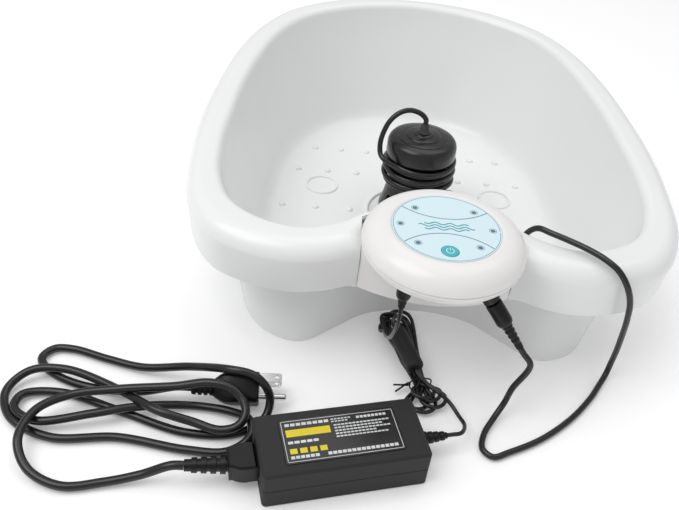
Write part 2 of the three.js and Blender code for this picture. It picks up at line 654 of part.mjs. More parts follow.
function arrayHousing() {
  const { baseR, footTop, waistR, waistFrom, waistTo, boreR, slots, slotWidth, slotHeight } = ARRAY;
  const body = turned([
    [boreR, plateTop + GAP], [baseR, plateTop + GAP], [baseR, footTop], [baseR - 1.6, footTop + 5],
    [waistR + 1.2, waistFrom - 4], [waistR, waistFrom], [waistR, waistTo - GAP], [boreR, waistTo - GAP],
    [boreR, plateTop + GAP],
  ]);
  const slot = slab(slotHeight, slotWidth, 2.9, boreR - 4, baseR + 4).rotateY(Math.PI / 2);
  const middle = (plateTop + waistFrom) / 2;
  const cuts = Array.from({ length: slots }, (_, i) =>
    at(slot, 0, 0, middle).rotateZ((2 * Math.PI * (i + 0.5)) / slots));
  return cut(body, ...cuts);
}
add("array_housing", arrayHousing(), BLACK_GLOSS, array);

function arrayCap() {
  const { capR, waistTo, capTop, boreR } = ARRAY;
  const glandHole = 3.6;
  return turned([
    [glandHole, capTop + 4], [8.6, capTop + 3.7], [9.2, capTop + 2.8], [capR - 16, capTop + 2.4],
    [capR - 15.2, capTop + 1.3], [capR - 9, capTop + 0.8], [capR - 8.2, capTop - 0.1], [capR - 4, capTop - 0.9],
    [capR - 1.6, capTop - 2.6], [capR - 0.4, capTop - 5.2], [capR, capTop - 8], [capR, waistTo + 1.2],
    [capR - 1, waistTo + GAP], [boreR - GAP, waistTo + GAP], [boreR - GAP, waistTo - 8],
    [boreR - 3, waistTo - 8], [boreR - 3, waistTo + 6], [capR - 3, waistTo + 9], [capR - 5, capTop - 4], [glandHole, capTop - 2],
    [glandHole, capTop + 4],
  ]);
}
add("array_cap", arrayCap(), BLACK_GLOSS, array);

const glandTop = ARRAY.capTop + 12.5;
add(
  "array_gland",
  turned([[0, ARRAY.capTop - 5], [3.2, ARRAY.capTop - 5], [3.2, ARRAY.capTop + 4.3], [5.4, ARRAY.capTop + 4.3],
    [4.2, ARRAY.capTop + 6.6], [2.9, glandTop], [0, glandTop]], 20),
  RUBBER,
  array,
);

const electrodeTop = ARRAY.waistTo - 11.6;
add(
  "electrode_carrier",
  cut(
    rod(ARRAY.boreR - 2.4, ARRAY.boreR - 2.4, electrodeTop, electrodeTop + 3.2, 32),
    rod(1.7, 1.7, electrodeTop - 1, electrodeTop + 5, 10),
  ),
  BLACK_GLOSS,
  array,
);
add("electrode_rod", rod(4.2, 4.2, plateTop + 5, electrodeTop - GAP, 20), BRIGHT_METAL, array);

function electrodeCoil() {
  const [turns, radius] = [4, ARRAY.boreR - 8.5];
  const [low, high] = [plateTop + 8, electrodeTop - 4];
  const points = Array.from({ length: turns * 12 + 1 }, (_, i) => {
    const turn = (2 * Math.PI * i) / 12;
    return [radius * Math.cos(turn), radius * Math.sin(turn), low + ((high - low) * i) / (turns * 12)];
  });
  return tube(curveThrough(points), 2.4, 40, 5);
}
add("electrode_coil", electrodeCoil(), BRIGHT_METAL, array);

// ---------------------------------------------------------------- the array's cable
add(
  "array_cord_wraps",
  turned([[WRAP.inner, WRAP.from], [WRAP.outer - 2, WRAP.from], [WRAP.outer, WRAP.from + 2.5],
    [WRAP.outer, WRAP.to - 2.5], [WRAP.outer - 2, WRAP.to], [WRAP.inner, WRAP.to], [WRAP.inner, WRAP.from],
  ], 32),
  BLACK_PVC,
  array,
);

const ARRAY_LOOP_ROUTE = [
  [0, -3, 107.9], [0, -3, 111.4], [-4.5, -2, 116], [-14, -1.4, 118.6], [-23, -3, 116.6], [-31, -6, 110],
  [-36, -9.5, 100], [-38, -13, 90], [-37, -18, 82.5], [-33.4, -22.6, 79.6],
];
add("array_cord_loop", tube(curveThrough(ARRAY_LOOP_ROUTE), ARRAY_CORD_D, 16, 8), BLACK_PVC);

/** A point on the array plug's axis, beyond the end of its boot. */
function beyondBoot(distance) {
  const along = new THREE.Vector3(...ARRAY_PLUG.along).normalize();
  const reach = ARRAY_PLUG.length + ARRAY_PLUG.boot + distance;
  return along.multiplyScalar(reach).add(new THREE.Vector3(...ARRAY_PLUG.at)).toArray();
}
const ARRAY_RUN_ROUTE = [
  [31.5, -27, 53.5], [40, -34, 48], [50, -44, 36], [58, -58, 22], [62, -76, 15], [63, -98, 14.6], [63, -114, 17],
  [63, -126, 34], [63.5, -134, 58], [65, -141, 84], [67, -147.5, 103], [71.5, -154, 112], [79, -161, 113.6],
  [90, -168, 113.6], [101, -176, 113.6], [112, -186, 113], [120.5, -193.6, 109.6], [127.5, -198.6, 101],
  [133.5, -199.2, 88], [138, -196.8, 70], [142, -192, 50], [145, -188, 30], [146, -186, 16], [143.5, -190, 6.5],
  [137, -199, 2.7], [127, -213, 2.5], [107, -235, 2.5], [82, -255, 2.5], [58, -268, 2.5], [46, -273, 2.5],
  [39.5, -267, 2.5], [42, -254, 2.7], [50, -241, 5], [57, -233, 13], [60, -231, 26], beyondBoot(16), beyondBoot(6),
  beyondBoot(GAP),
];
add("array_cord_run", tube(curveThrough(ARRAY_RUN_ROUTE), ARRAY_CORD_D, 66, 8), BLACK_PVC);

// ---------------------------------------------------------------- the power supply
const supply = group(ADAPTER.x, ADAPTER.y, 0, ADAPTER.turn);
const endX = ADAPTER.length / 2;

function caseCuts() {
  const inletHole = new THREE.BoxGeometry(8, INLET.width + 0.6, INLET.height + 0.6);
  inletHole.translate(-endX, 0, INLET.z);
  const reliefHole = rod(3.4, 3.4, -6, 6, 16).rotateY(Math.PI / 2).translate(endX, 0, INLET.z);
  return [inletHole, reliefHole];
}

function lowerCase() {
  const { length, width, corner: round, wall } = ADAPTER;
  const room = slab(length - 2 * wall, width - 2 * wall, round - 1, wall, split + 5);
  return cut(slab(length, width, round, 0, split), room, ...caseCuts());
}
add("adapter_lower_case", lowerCase(), BLACK_MATTE, supply);

function upperCase() {
  const { length, width, corner: round, wall, height } = ADAPTER;
  const room = slab(length - 2 * wall, width - 2 * wall, round - 1, split - 5, height - wall);
  const labelSeat = slab(ADAPTER_LABEL.length + 0.8, ADAPTER_LABEL.width + 0.8, 1.5, height - 0.35, height + 2);
  return cut(slab(length, width, round, split + GAP, height, 1.6), room, labelSeat, ...caseCuts());
}
add("adapter_upper_case", upperCase(), BLACK_MATTE, supply);

const adapterLabelZ = ADAPTER.height - 0.04;
add(
  "adapter_label",
  slab(ADAPTER_LABEL.length, ADAPTER_LABEL.width, 1.2, adapterLabelZ, adapterLabelZ + ADAPTER_LABEL.thick),
  BLACK_GLOSS,
  supply,
);

const psuBoard = 5;
const adapterBoard = block(ADAPTER.length - 27, ADAPTER.width - 7, 1.6);
add("adapter_board", at(adapterBoard, 5, 0, psuBoard), BOARD_GREEN, supply);
const onBoard = psuBoard + 1.6 + GAP;
const transformer = join(block(24, 20, 17), at(block(16, 26, 11), 0, 0, 3));
add("adapter_transformer", at(transformer, 8, 0, onBoard), YELLOW_TAPE, supply);
add("adapter_capacitor", at(rod(7, 7, 0, 18, 20), -20, 8, onBoard), BLUE_SLEEVE, supply);
add("adapter_output_capacitor", at(rod(4, 4, 0, 14, 16), 33, -8, onBoard), BLUE_SLEEVE, supply);

function inlet() {
  const { width, height, depth } = INLET;
  const body = new THREE.BoxGeometry(depth, width, height).translate(depth / 2, 0, 0);
  const hollow = new THREE.BoxGeometry(
    2 * (CONNECTOR.noseReach + 0.8), 2 * (CONNECTOR.noseHalf[0] + RUN), 2 * (CONNECTOR.noseHalf[1] + RUN));
  const pin = new THREE.BoxGeometry(9, 1.6, 3.6);
  const pins = [-1, 0, 1].map((k) => at(pin, 5.4, 5 * k, k === 0 ? 2 : -1.4));
  return join(cut(body, hollow), ...pins).translate(-endX + 0.4, 0, INLET.z);
}
add("adapter_inlet", inlet(), BLACK_GLOSS, supply);

function strainRelief() {
  const profile = [[0, -4], [4.6, -4], [4.6, -2.3], [3.1, -2.3], [3.1, GAP], [4.6, GAP], [4.6, 2]];
  for (let i = 0; i < 4; i++) {
    const r = 4.5 - 0.45 * i;
    profile.push([r, 2.4 + 4.2 * i], [r, 5.4 + 4.2 * i], [r - 1.1, 5.6 + 4.2 * i], [r - 1.1, 6.6 + 4.2 * i]);
  }
  profile.push([2.2, 20], [0, 20]);
  return turned(profile, 10).rotateY(Math.PI / 2).translate(endX, 0, INLET.z);
}
add("adapter_strain_relief", strainRelief(), BLACK_PVC, supply);

// ---------------------------------------------------------------- the mains lead
/** The connector that enters the supply: nose, body and ribbed boot in one moulding, along -X from the case. */
function mainsConnector() {
  const { body, boot, bootTurn, noseReach, noseHalf } = CONNECTOR;
  const pinRooms = [-1, 0, 1].map((k) =>
    new THREE.BoxGeometry(9.6, 1.6 + 2 * RUN, 3.6 + 2 * RUN).translate(4.8, 5 * k, k === 0 ? 2 : -1.4));
  const nose = new THREE.BoxGeometry(noseReach + 1.6, 2 * noseHalf[0], 2 * noseHalf[1]);
  nose.translate(noseReach / 2 - 0.8, 0, 0);
  const outline = new THREE.Shape();
  outline.moveTo(-0.8, -10.4).lineTo(-0.8, 10.4).lineTo(-9, 10.4).quadraticCurveTo(-13, 10, 2 - body, 7.2);
  outline.lineTo(-body, 7.2).lineTo(-body, -7.2).lineTo(2 - body, -7.2);
  outline.quadraticCurveTo(-13, -10, -9, -10.4).closePath();
  const shell = new THREE.ExtrudeGeometry(outline, {
    depth: 13, bevelEnabled: true, bevelThickness: 1.6, bevelSize: 1.2, bevelOffset: -1.2, bevelSegments: 1,
    curveSegments: 3,
  }).translate(0, 0, -6.5);
  const backwards = (geometry) => geometry.rotateY(-Math.PI / 2).rotateZ(THREE.MathUtils.degToRad(bootTurn))
    .translate(1.5 - body, 0, 0);
  const ribs = Array.from({ length: 4 }, (_, i) =>
    backwards(rod(6 - 0.35 * i, 5.9 - 0.35 * i, 2.4 + 6 * i, 6 + 6 * i, 12)));
  return cut(join(shell, nose, backwards(rod(4.6, 3.8, -1, boot + 1.5, 12)), ...ribs), ...pinRooms);
}
add("mains_connector", mainsConnector().translate(-endX, 0, INLET.z), BLACK_PVC, supply);

const plugFacing = group(WALL_PLUG.x, WALL_PLUG.y, WALL_PLUG.z, WALL_PLUG.turn);
const wallPlug = group(0, 0, 0, 0, plugFacing);
wallPlug.rotation.x = THREE.MathUtils.degToRad(WALL_PLUG.roll);

/** A cross-section of the wall plug: squarish where power is low, round where it is 1. */
function plugSection(x, backY, frontY, halfBack, halfFront, power) {
  const bend = (value) => Math.sign(value) * Math.abs(value) ** power;
  return Array.from({ length: 16 }, (_, i) => {
    const turn = (2 * Math.PI * (i + 0.5)) / 16;
    const across = 0.5 + 0.5 * bend(Math.sin(turn));
    const half = halfBack + (halfFront - halfBack) * across;
    return [x, backY + (frontY - backY) * across, half * bend(Math.cos(turn))];
  });
}

function wallPlugBody() {
  const { length, boot, bootR, back, front, halfAtBlades, halfAtPin, bladeHalfGap, pinOffset } = WALL_PLUG;
  const axisY = (back - front) / 2;
  const full = (x, shrink, power) =>
    plugSection(x, back - shrink, shrink - front, halfAtBlades - shrink, halfAtPin - shrink, power);
  const round = (x, r) => plugSection(x, axisY + r, axisY - r, r, r, 1);
  const body = loft([
    full(0, 0.6, 0.4), full(-1, 0, 0.4), full(-length * 0.62, 0, 0.45), full(-length * 0.84, 1.8, 0.55),
    full(-length, 5, 0.9), round(-length - 0.2, bootR), round(-length - boot, bootR - 0.4),
  ]);
  const grooves = [0, 1, 2].map((i) => {
    const groove = ring(bootR - 1.2, bootR + 2, 0, 1.4, 12);
    return groove.rotateY(-Math.PI / 2).translate(-length - 2.4 - 4 * i, axisY, 0);
  });
  const bladeRooms = [-1, 1].map((k) =>
    new THREE.BoxGeometry(9, 6.4 + 2 * GAP, 1.5 + 2 * GAP).translate(-4.4, 0, k * bladeHalfGap));
  const pinRoom = rod(2.4 + GAP, 2.4 + GAP, 0, 9, 12).rotateY(-Math.PI / 2).translate(0.1, -pinOffset, 0);
  return cut(body, ...grooves, ...bladeRooms, pinRoom);
}
add("wall_plug", wallPlugBody(), BLACK_PVC, wallPlug);

function blade() {
  const outline = new THREE.Shape();
  outline.moveTo(-8, -3.2).lineTo(14.4, -3.2).lineTo(15.6, -2).lineTo(15.6, 2);
  outline.lineTo(14.4, 3.2).lineTo(-8, 3.2).closePath();
  outline.holes.push(new THREE.Path().absarc(12, 0, 1.5, 0, 2 * Math.PI, true));
  const blade = new THREE.ExtrudeGeometry(outline, { depth: 1.5, bevelEnabled: false, curveSegments: 6 });
  return blade.translate(0, 0, -0.75);
}
add("plug_blade_1", at(blade(), 0, 0, WALL_PLUG.bladeHalfGap), BRIGHT_METAL, wallPlug);
add("plug_blade_2", at(blade(), 0, 0, -WALL_PLUG.bladeHalfGap), BRIGHT_METAL, wallPlug);
const earthPin = join(rod(2.4, 2.4, -8, 18, 14), rod(2.4, 1.3, 18, 19.6, 14)).rotateY(Math.PI / 2);
add("plug_earth_pin", at(earthPin, 0, -WALL_PLUG.pinOffset, 0), BRIGHT_METAL, wallPlug);

/** A point given in a group's own frame, in the object's frame. */
function inObject(parent, x, y, z) {
  spa.updateMatrixWorld(true);
  return parent.localToWorld(new THREE.Vector3(x, y, z)).toArray();
}

/** A point behind the end of the connector's boot. */
function behindConnector(distance) {
  const turn = THREE.MathUtils.degToRad(CONNECTOR.bootTurn);
  const reach = CONNECTOR.boot + 1.5 + distance;
  const x = -endX + 1.5 - CONNECTOR.body - reach * Math.cos(turn);
  return inObject(supply, x, -reach * Math.sin(turn), INLET.z);
}

/** A point behind the end of the wall plug's boot. */
const behindWallPlug = (distance) =>
  inObject(wallPlug, -WALL_PLUG.length - WALL_PLUG.boot - distance, (WALL_PLUG.back - WALL_PLUG.front) / 2, 0);

// From the connector down to the ground, then loosely to and fro in long loops, over and under itself,
// and at last up to the wall plug.
const MAINS_ROUTE = [
  behindConnector(GAP), behindConnector(8), [-184, -311, 7], [-206, -316, 3.6], [-232, -321, 3.4], [-255, -312, 6],
  [-266, -294, 12], [-262, -271, 13], [-244, -257, 13.5], [-212, -251, 16.5], [-174, -248, 20.5], [-152, -247, 25.5],
  [-137, -249, 25], [-128, -254.5, 21], [-124, -263, 16.5], [-128, -271, 12.5], [-140, -274, 10], [-159, -270, 11.5],
  [-183, -266, 15.5], [-214, -246, 10], [-256, -231, 10], [-280, -234, 8.5], [-291, -250, 4.4], [-281, -271, 3.2],
  [-250, -285, 3.2], [-207, -281, 3.2], [-160, -287, 3.4], [-133, -287, 5], [-120, -278, 9], [-121, -264, 10],
  [-134, -255, 6.5], [-157, -250, 4], [-181, -253, 6], [-204, -261, 9.8], [-226, -268, 9.6], [-262, -275, 6.5],
  [-280, -265, 5.5], [-279, -252, 4.5], [-254, -247, 3.5], [-211, -259, 3.2], [-162, -273, 3.2], [-128, -270, 3.4],
  [-112, -258, 5.5], [-109, -248, 14], [-113, -244, 23.5], [-122, -240.5, 29.5], [-138, -238, 30.5], [-169, -224, 15],
  [-204, -219, 5], [-232, -212, 3.4], [-258, -205, 3.3], [-272, -206, 3.2], [-278, -216, 3.2], [-268, -228, 3.2],
  [-242, -239, 3.4], [-203, -242, 4.8], behindWallPlug(10), behindWallPlug(GAP),
];
add("mains_cord", tube(curveThrough(MAINS_ROUTE), MAINS_CORD_D, 80, 8), BLACK_PVC);

// ---------------------------------------------------------------- the low-voltage lead
const hankTurn = Math.atan2(HANK.to[1] - HANK.from[1], HANK.to[0] - HANK.from[0]);
const hankLength = Math.hypot(HANK.to[0] - HANK.from[0], HANK.to[1] - HANK.from[1]);
const hank = group(HANK.from[0], HANK.from[1], HANK.bottom, THREE.MathUtils.radToDeg(hankTurn));
const waistAt = hankLength * 0.84; // where the tie is, from the far end

/** The outer shape of the folded lead: two round ends and a narrow waist. */
function hankSolid() {
  const { end, waist, height } = HANK;
  const shape = new THREE.Shape();
  const nearR = end - 1;
  shape.moveTo(0, -end).bezierCurveTo(waistAt * 0.5, -end, waistAt * 0.7, -waist, waistAt, -waist);
  shape.quadraticCurveTo(hankLength - 4, -nearR, hankLength, -nearR);
  shape.absarc(hankLength, 0, nearR, -Math.PI / 2, Math.PI / 2);
  shape.quadraticCurveTo(hankLength - 4, nearR, waistAt, waist);
  shape.bezierCurveTo(waistAt * 0.7, waist, waistAt * 0.5, end, 0, end);
  shape.absarc(0, 0, end, Math.PI / 2, 1.5 * Math.PI);
  return new THREE.ExtrudeGeometry(shape, { depth: height, bevelEnabled: false, curveSegments: 6 });
}
add("dc_cord_hank", hankSolid(), BLACK_PVC, hank);

/** A wire band round the waist, with its two ends twisted together at one side. */
function hankTie() {
  const [w, h] = [HANK.waist + 1.1, HANK.height];
  const band = cut(
    new THREE.BoxGeometry(2.4, 2 * w + 1.6, h + 2.4).translate(0, 0, h / 2),
    new THREE.BoxGeometry(4, 2 * w, h + 0.8).translate(0, 0, h / 2),
  );
  const twist = rod(0.9, 0.9, 0, 7, 8).rotateX(Math.PI / 2).translate(0, -w - 0.3, h / 2);
  const end = rod(0.6, 0.6, 0, 8, 8).rotateX(Math.PI / 2);
  const tail = (bend) => at(end.clone().rotateZ(bend), 0, -w - 6.8, h / 2);
  return join(band, twist, tail(0.5), tail(-0.7)).translate(waistAt, 0, 0);
}
add("hank_tie", hankTie(), BLACK_MATTE, hank);

const sleeveFrom = new THREE.Vector3(...SLEEVE.from);
const sleeveTo = new THREE.Vector3(...SLEEVE.to);
function ferriteSleeve() {
  const { r, bore } = SLEEVE;
  const length = sleeveFrom.distanceTo(sleeveTo);
  const turn = new THREE.Quaternion()
    .setFromUnitVectors(new THREE.Vector3(0, 0, 1), sleeveTo.clone().sub(sleeveFrom).normalize());
  const profile = [
    [bore, 0], [r - 2.4, 0], [r - 0.8, 0.8], [r, 2.6], [r, length - 2.6], [r - 0.8, length - 0.8],
    [r - 2.4, length], [bore, length], [bore, 0],
  ];
  return turned(profile, 20).applyQuaternion(turn).translate(...SLEEVE.from);
}
add("ferrite_sleeve", ferriteSleeve(), BLACK_MATTE);

/** A point on the sleeve's axis, beyond its far end (negative) or its near end (over 1). */
const onSleeve = (t) => sleeveFrom.clone().lerp(sleeveTo, t).toArray();
const bootEnd = HEAD.underZ - GAP - DC_PLUG.length;
const hankTop = HANK.bottom + HANK.height;

const DC_DROP_ROUTE = [
  [DC_PLUG.x, DC_PLUG.y, bootEnd - GAP], [DC_PLUG.x, DC_PLUG.y, bootEnd - 8], [-26.8, -219, 66], [-27.4, -208, 46],
  [-28, -192, 29], [-28.4, -178, 19], [-27.5, -166, 13], [-25, -158, hankTop + 1.9],
];
add("dc_cord_drop", tube(curveThrough(DC_DROP_ROUTE), DC_CORD_D, 14, 8), BLACK_PVC);

const reliefEnd = (distance) => inObject(supply, endX + 20 + distance, 0, INLET.z);
const DC_TAIL_ROUTE = [
  [-18, -147, hankTop + 1.9], [-20.5, -155, hankTop + 2.6], onSleeve(-0.2), onSleeve(0), onSleeve(1), onSleeve(1.12),
  [3, -222, 13.5], [11, -228.5, 12.8], [18.5, -234, 9.5], [24, -243, 7.5], [27, -253, 9.5], reliefEnd(10), reliefEnd(4),
  reliefEnd(GAP),
];
add("dc_cord_tail", tube(curveThrough(DC_TAIL_ROUTE), DC_CORD_D, 30, 8), BLACK_PVC);

export default spa;
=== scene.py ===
"""The looks of a foot spa basin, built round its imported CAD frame.

The tub, the control head, the water array, the power supply and their leads are remade as smooth
pieces over their CAD solids, and the CAD nodes that stay get detailed materials. Sizes in the
classes are millimetres; everything handed to Blender is metres.
"""

import json
import logging
import math
from dataclasses import dataclass
from enum import Enum

import bmesh
import bpy
from mathutils import Matrix, Vector
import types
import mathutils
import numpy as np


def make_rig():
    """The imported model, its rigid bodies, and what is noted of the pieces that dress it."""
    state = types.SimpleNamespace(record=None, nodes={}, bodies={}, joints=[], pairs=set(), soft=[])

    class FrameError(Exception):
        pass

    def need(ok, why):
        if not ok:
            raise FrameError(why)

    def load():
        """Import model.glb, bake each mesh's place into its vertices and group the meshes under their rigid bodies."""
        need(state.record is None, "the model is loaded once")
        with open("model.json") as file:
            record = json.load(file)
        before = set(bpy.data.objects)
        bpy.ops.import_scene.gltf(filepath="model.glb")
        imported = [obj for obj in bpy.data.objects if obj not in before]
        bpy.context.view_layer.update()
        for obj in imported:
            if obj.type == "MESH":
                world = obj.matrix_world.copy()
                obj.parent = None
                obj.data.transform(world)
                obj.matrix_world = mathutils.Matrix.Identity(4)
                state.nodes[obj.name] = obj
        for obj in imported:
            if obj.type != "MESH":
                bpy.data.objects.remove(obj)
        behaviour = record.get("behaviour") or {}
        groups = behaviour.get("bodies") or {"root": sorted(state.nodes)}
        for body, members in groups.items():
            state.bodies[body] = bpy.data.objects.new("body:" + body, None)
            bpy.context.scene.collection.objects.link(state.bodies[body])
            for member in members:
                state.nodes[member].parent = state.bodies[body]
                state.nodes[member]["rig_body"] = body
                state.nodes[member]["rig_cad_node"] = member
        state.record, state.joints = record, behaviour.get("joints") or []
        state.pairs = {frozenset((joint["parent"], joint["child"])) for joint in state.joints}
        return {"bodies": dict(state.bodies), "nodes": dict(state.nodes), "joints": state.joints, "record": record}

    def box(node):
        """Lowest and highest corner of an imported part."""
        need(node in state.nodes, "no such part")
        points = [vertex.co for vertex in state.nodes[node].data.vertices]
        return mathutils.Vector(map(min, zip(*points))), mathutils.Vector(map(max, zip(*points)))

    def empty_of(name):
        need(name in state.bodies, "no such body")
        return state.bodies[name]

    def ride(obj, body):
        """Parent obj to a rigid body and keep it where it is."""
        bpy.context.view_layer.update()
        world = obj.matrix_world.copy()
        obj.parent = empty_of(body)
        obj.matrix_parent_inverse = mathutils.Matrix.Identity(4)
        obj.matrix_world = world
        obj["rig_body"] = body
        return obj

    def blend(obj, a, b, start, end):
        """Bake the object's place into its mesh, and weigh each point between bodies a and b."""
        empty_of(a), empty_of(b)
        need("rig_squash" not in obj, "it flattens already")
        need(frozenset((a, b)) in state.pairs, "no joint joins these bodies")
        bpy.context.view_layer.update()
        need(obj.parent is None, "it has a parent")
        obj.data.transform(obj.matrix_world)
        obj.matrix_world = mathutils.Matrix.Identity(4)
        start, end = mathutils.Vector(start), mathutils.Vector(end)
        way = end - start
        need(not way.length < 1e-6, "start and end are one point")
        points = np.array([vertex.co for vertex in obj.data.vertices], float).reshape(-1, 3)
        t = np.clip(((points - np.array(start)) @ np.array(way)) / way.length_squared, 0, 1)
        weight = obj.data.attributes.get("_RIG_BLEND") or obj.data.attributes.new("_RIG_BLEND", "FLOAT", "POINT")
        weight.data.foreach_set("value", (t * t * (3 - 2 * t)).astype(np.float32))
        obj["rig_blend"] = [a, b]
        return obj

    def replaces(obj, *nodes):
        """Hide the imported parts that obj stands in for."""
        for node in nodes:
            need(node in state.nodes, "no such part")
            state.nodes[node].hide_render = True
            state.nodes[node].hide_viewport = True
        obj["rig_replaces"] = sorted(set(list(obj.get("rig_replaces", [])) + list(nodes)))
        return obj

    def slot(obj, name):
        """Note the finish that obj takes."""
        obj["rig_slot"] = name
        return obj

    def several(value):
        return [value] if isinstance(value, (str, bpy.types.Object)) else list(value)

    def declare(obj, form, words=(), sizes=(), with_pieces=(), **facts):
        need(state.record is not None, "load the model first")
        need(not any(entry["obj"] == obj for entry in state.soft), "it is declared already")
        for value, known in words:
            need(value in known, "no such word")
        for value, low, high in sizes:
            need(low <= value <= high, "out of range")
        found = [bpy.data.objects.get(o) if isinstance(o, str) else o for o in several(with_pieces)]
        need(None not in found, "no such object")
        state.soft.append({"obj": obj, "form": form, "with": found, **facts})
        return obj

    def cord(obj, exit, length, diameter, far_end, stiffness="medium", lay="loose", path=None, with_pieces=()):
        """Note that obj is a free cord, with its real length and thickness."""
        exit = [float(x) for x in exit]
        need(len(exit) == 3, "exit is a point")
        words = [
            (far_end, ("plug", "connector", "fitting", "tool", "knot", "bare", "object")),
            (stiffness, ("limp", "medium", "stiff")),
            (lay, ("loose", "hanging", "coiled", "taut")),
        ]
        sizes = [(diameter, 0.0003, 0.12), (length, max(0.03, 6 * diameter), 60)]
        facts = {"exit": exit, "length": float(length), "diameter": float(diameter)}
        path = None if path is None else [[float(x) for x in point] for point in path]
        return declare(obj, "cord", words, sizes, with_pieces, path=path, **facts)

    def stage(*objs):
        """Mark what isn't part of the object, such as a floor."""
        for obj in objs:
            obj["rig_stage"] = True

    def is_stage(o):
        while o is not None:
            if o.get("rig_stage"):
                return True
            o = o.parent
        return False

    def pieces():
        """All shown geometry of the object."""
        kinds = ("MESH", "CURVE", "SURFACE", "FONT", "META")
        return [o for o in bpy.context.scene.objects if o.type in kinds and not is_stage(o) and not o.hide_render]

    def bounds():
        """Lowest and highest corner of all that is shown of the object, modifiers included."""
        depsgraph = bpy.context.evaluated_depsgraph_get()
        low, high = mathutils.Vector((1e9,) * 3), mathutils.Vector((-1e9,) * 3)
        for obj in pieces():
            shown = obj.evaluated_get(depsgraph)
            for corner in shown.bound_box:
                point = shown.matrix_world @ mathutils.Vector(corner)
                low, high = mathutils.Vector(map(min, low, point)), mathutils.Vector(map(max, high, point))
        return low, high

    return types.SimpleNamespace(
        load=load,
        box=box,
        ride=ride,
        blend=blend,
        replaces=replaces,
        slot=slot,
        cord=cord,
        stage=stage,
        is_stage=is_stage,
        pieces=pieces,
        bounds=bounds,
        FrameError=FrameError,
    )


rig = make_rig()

LOG = logging.getLogger("foot_spa")
MM = 0.001
Point = tuple[float, float, float]
Profile = list[tuple[float, float]]


class Body(str, Enum):
    """The CAD bodies that pieces ride on."""

    TUB = "tub"
    BUTTON = "button"
    ARRAY = "array"
    DC_PLUG = "dc_plug"
    CONNECTOR = "connector"


# ---------------------------------------------------------------- shader node groups
def linear(hex_colour: str) -> tuple[float, float, float, float]:
    """A display colour such as "f1f2f2" as the linear colour that a shader takes."""
    levels = [int(hex_colour[i : i + 2], 16) / 255 for i in (0, 2, 4)]
    return (*[c / 12.92 if c <= 0.04045 else ((c + 0.055) / 1.055) ** 2.4 for c in levels], 1.0)


class GroupMaker:
    """Builds one shader node group with named sockets."""

    def __init__(self, name: str, inputs: dict[str, str], outputs: dict[str, str]) -> None:
        """Makes the group and its sockets.

        Args:
            name: the group's name.
            inputs: socket names and their socket types.
            outputs: socket names and their socket types.
        """
        self.tree = bpy.data.node_groups.new(name, "ShaderNodeTree")
        for socket, kind in inputs.items():
            self.tree.interface.new_socket(socket, in_out="INPUT", socket_type=kind)
        for socket, kind in outputs.items():
            self.tree.interface.new_socket(socket, in_out="OUTPUT", socket_type=kind)
        self.entry = self.tree.nodes.new("NodeGroupInput")
        self.exit = self.tree.nodes.new("NodeGroupOutput")

    def node(self, kind: str, values: dict | None = None, **settings: object) -> bpy.types.Node:
        """Adds a node.

        Args:
            kind: Blender's node type.
            values: input socket names or numbers, with the value or the socket that feeds each.
            settings: the node's own settings.

        Returns:
            The new node.
        """
        made = self.tree.nodes.new(kind)
        for setting, value in settings.items():
            setattr(made, setting, value)
        for socket, value in (values or {}).items():
            if isinstance(value, bpy.types.NodeSocket):
                self.tree.links.new(value, made.inputs[socket])
            else:
                made.inputs[socket].default_value = value
        return made

    def give(self, socket: str, value: bpy.types.NodeSocket) -> None:
        """Links a value to one of the group's outputs."""
        self.tree.links.new(value, self.exit.inputs[socket])


COLOUR, NUMBER, VECTOR = "NodeSocketColor", "NodeSocketFloat", "NodeSocketVector"


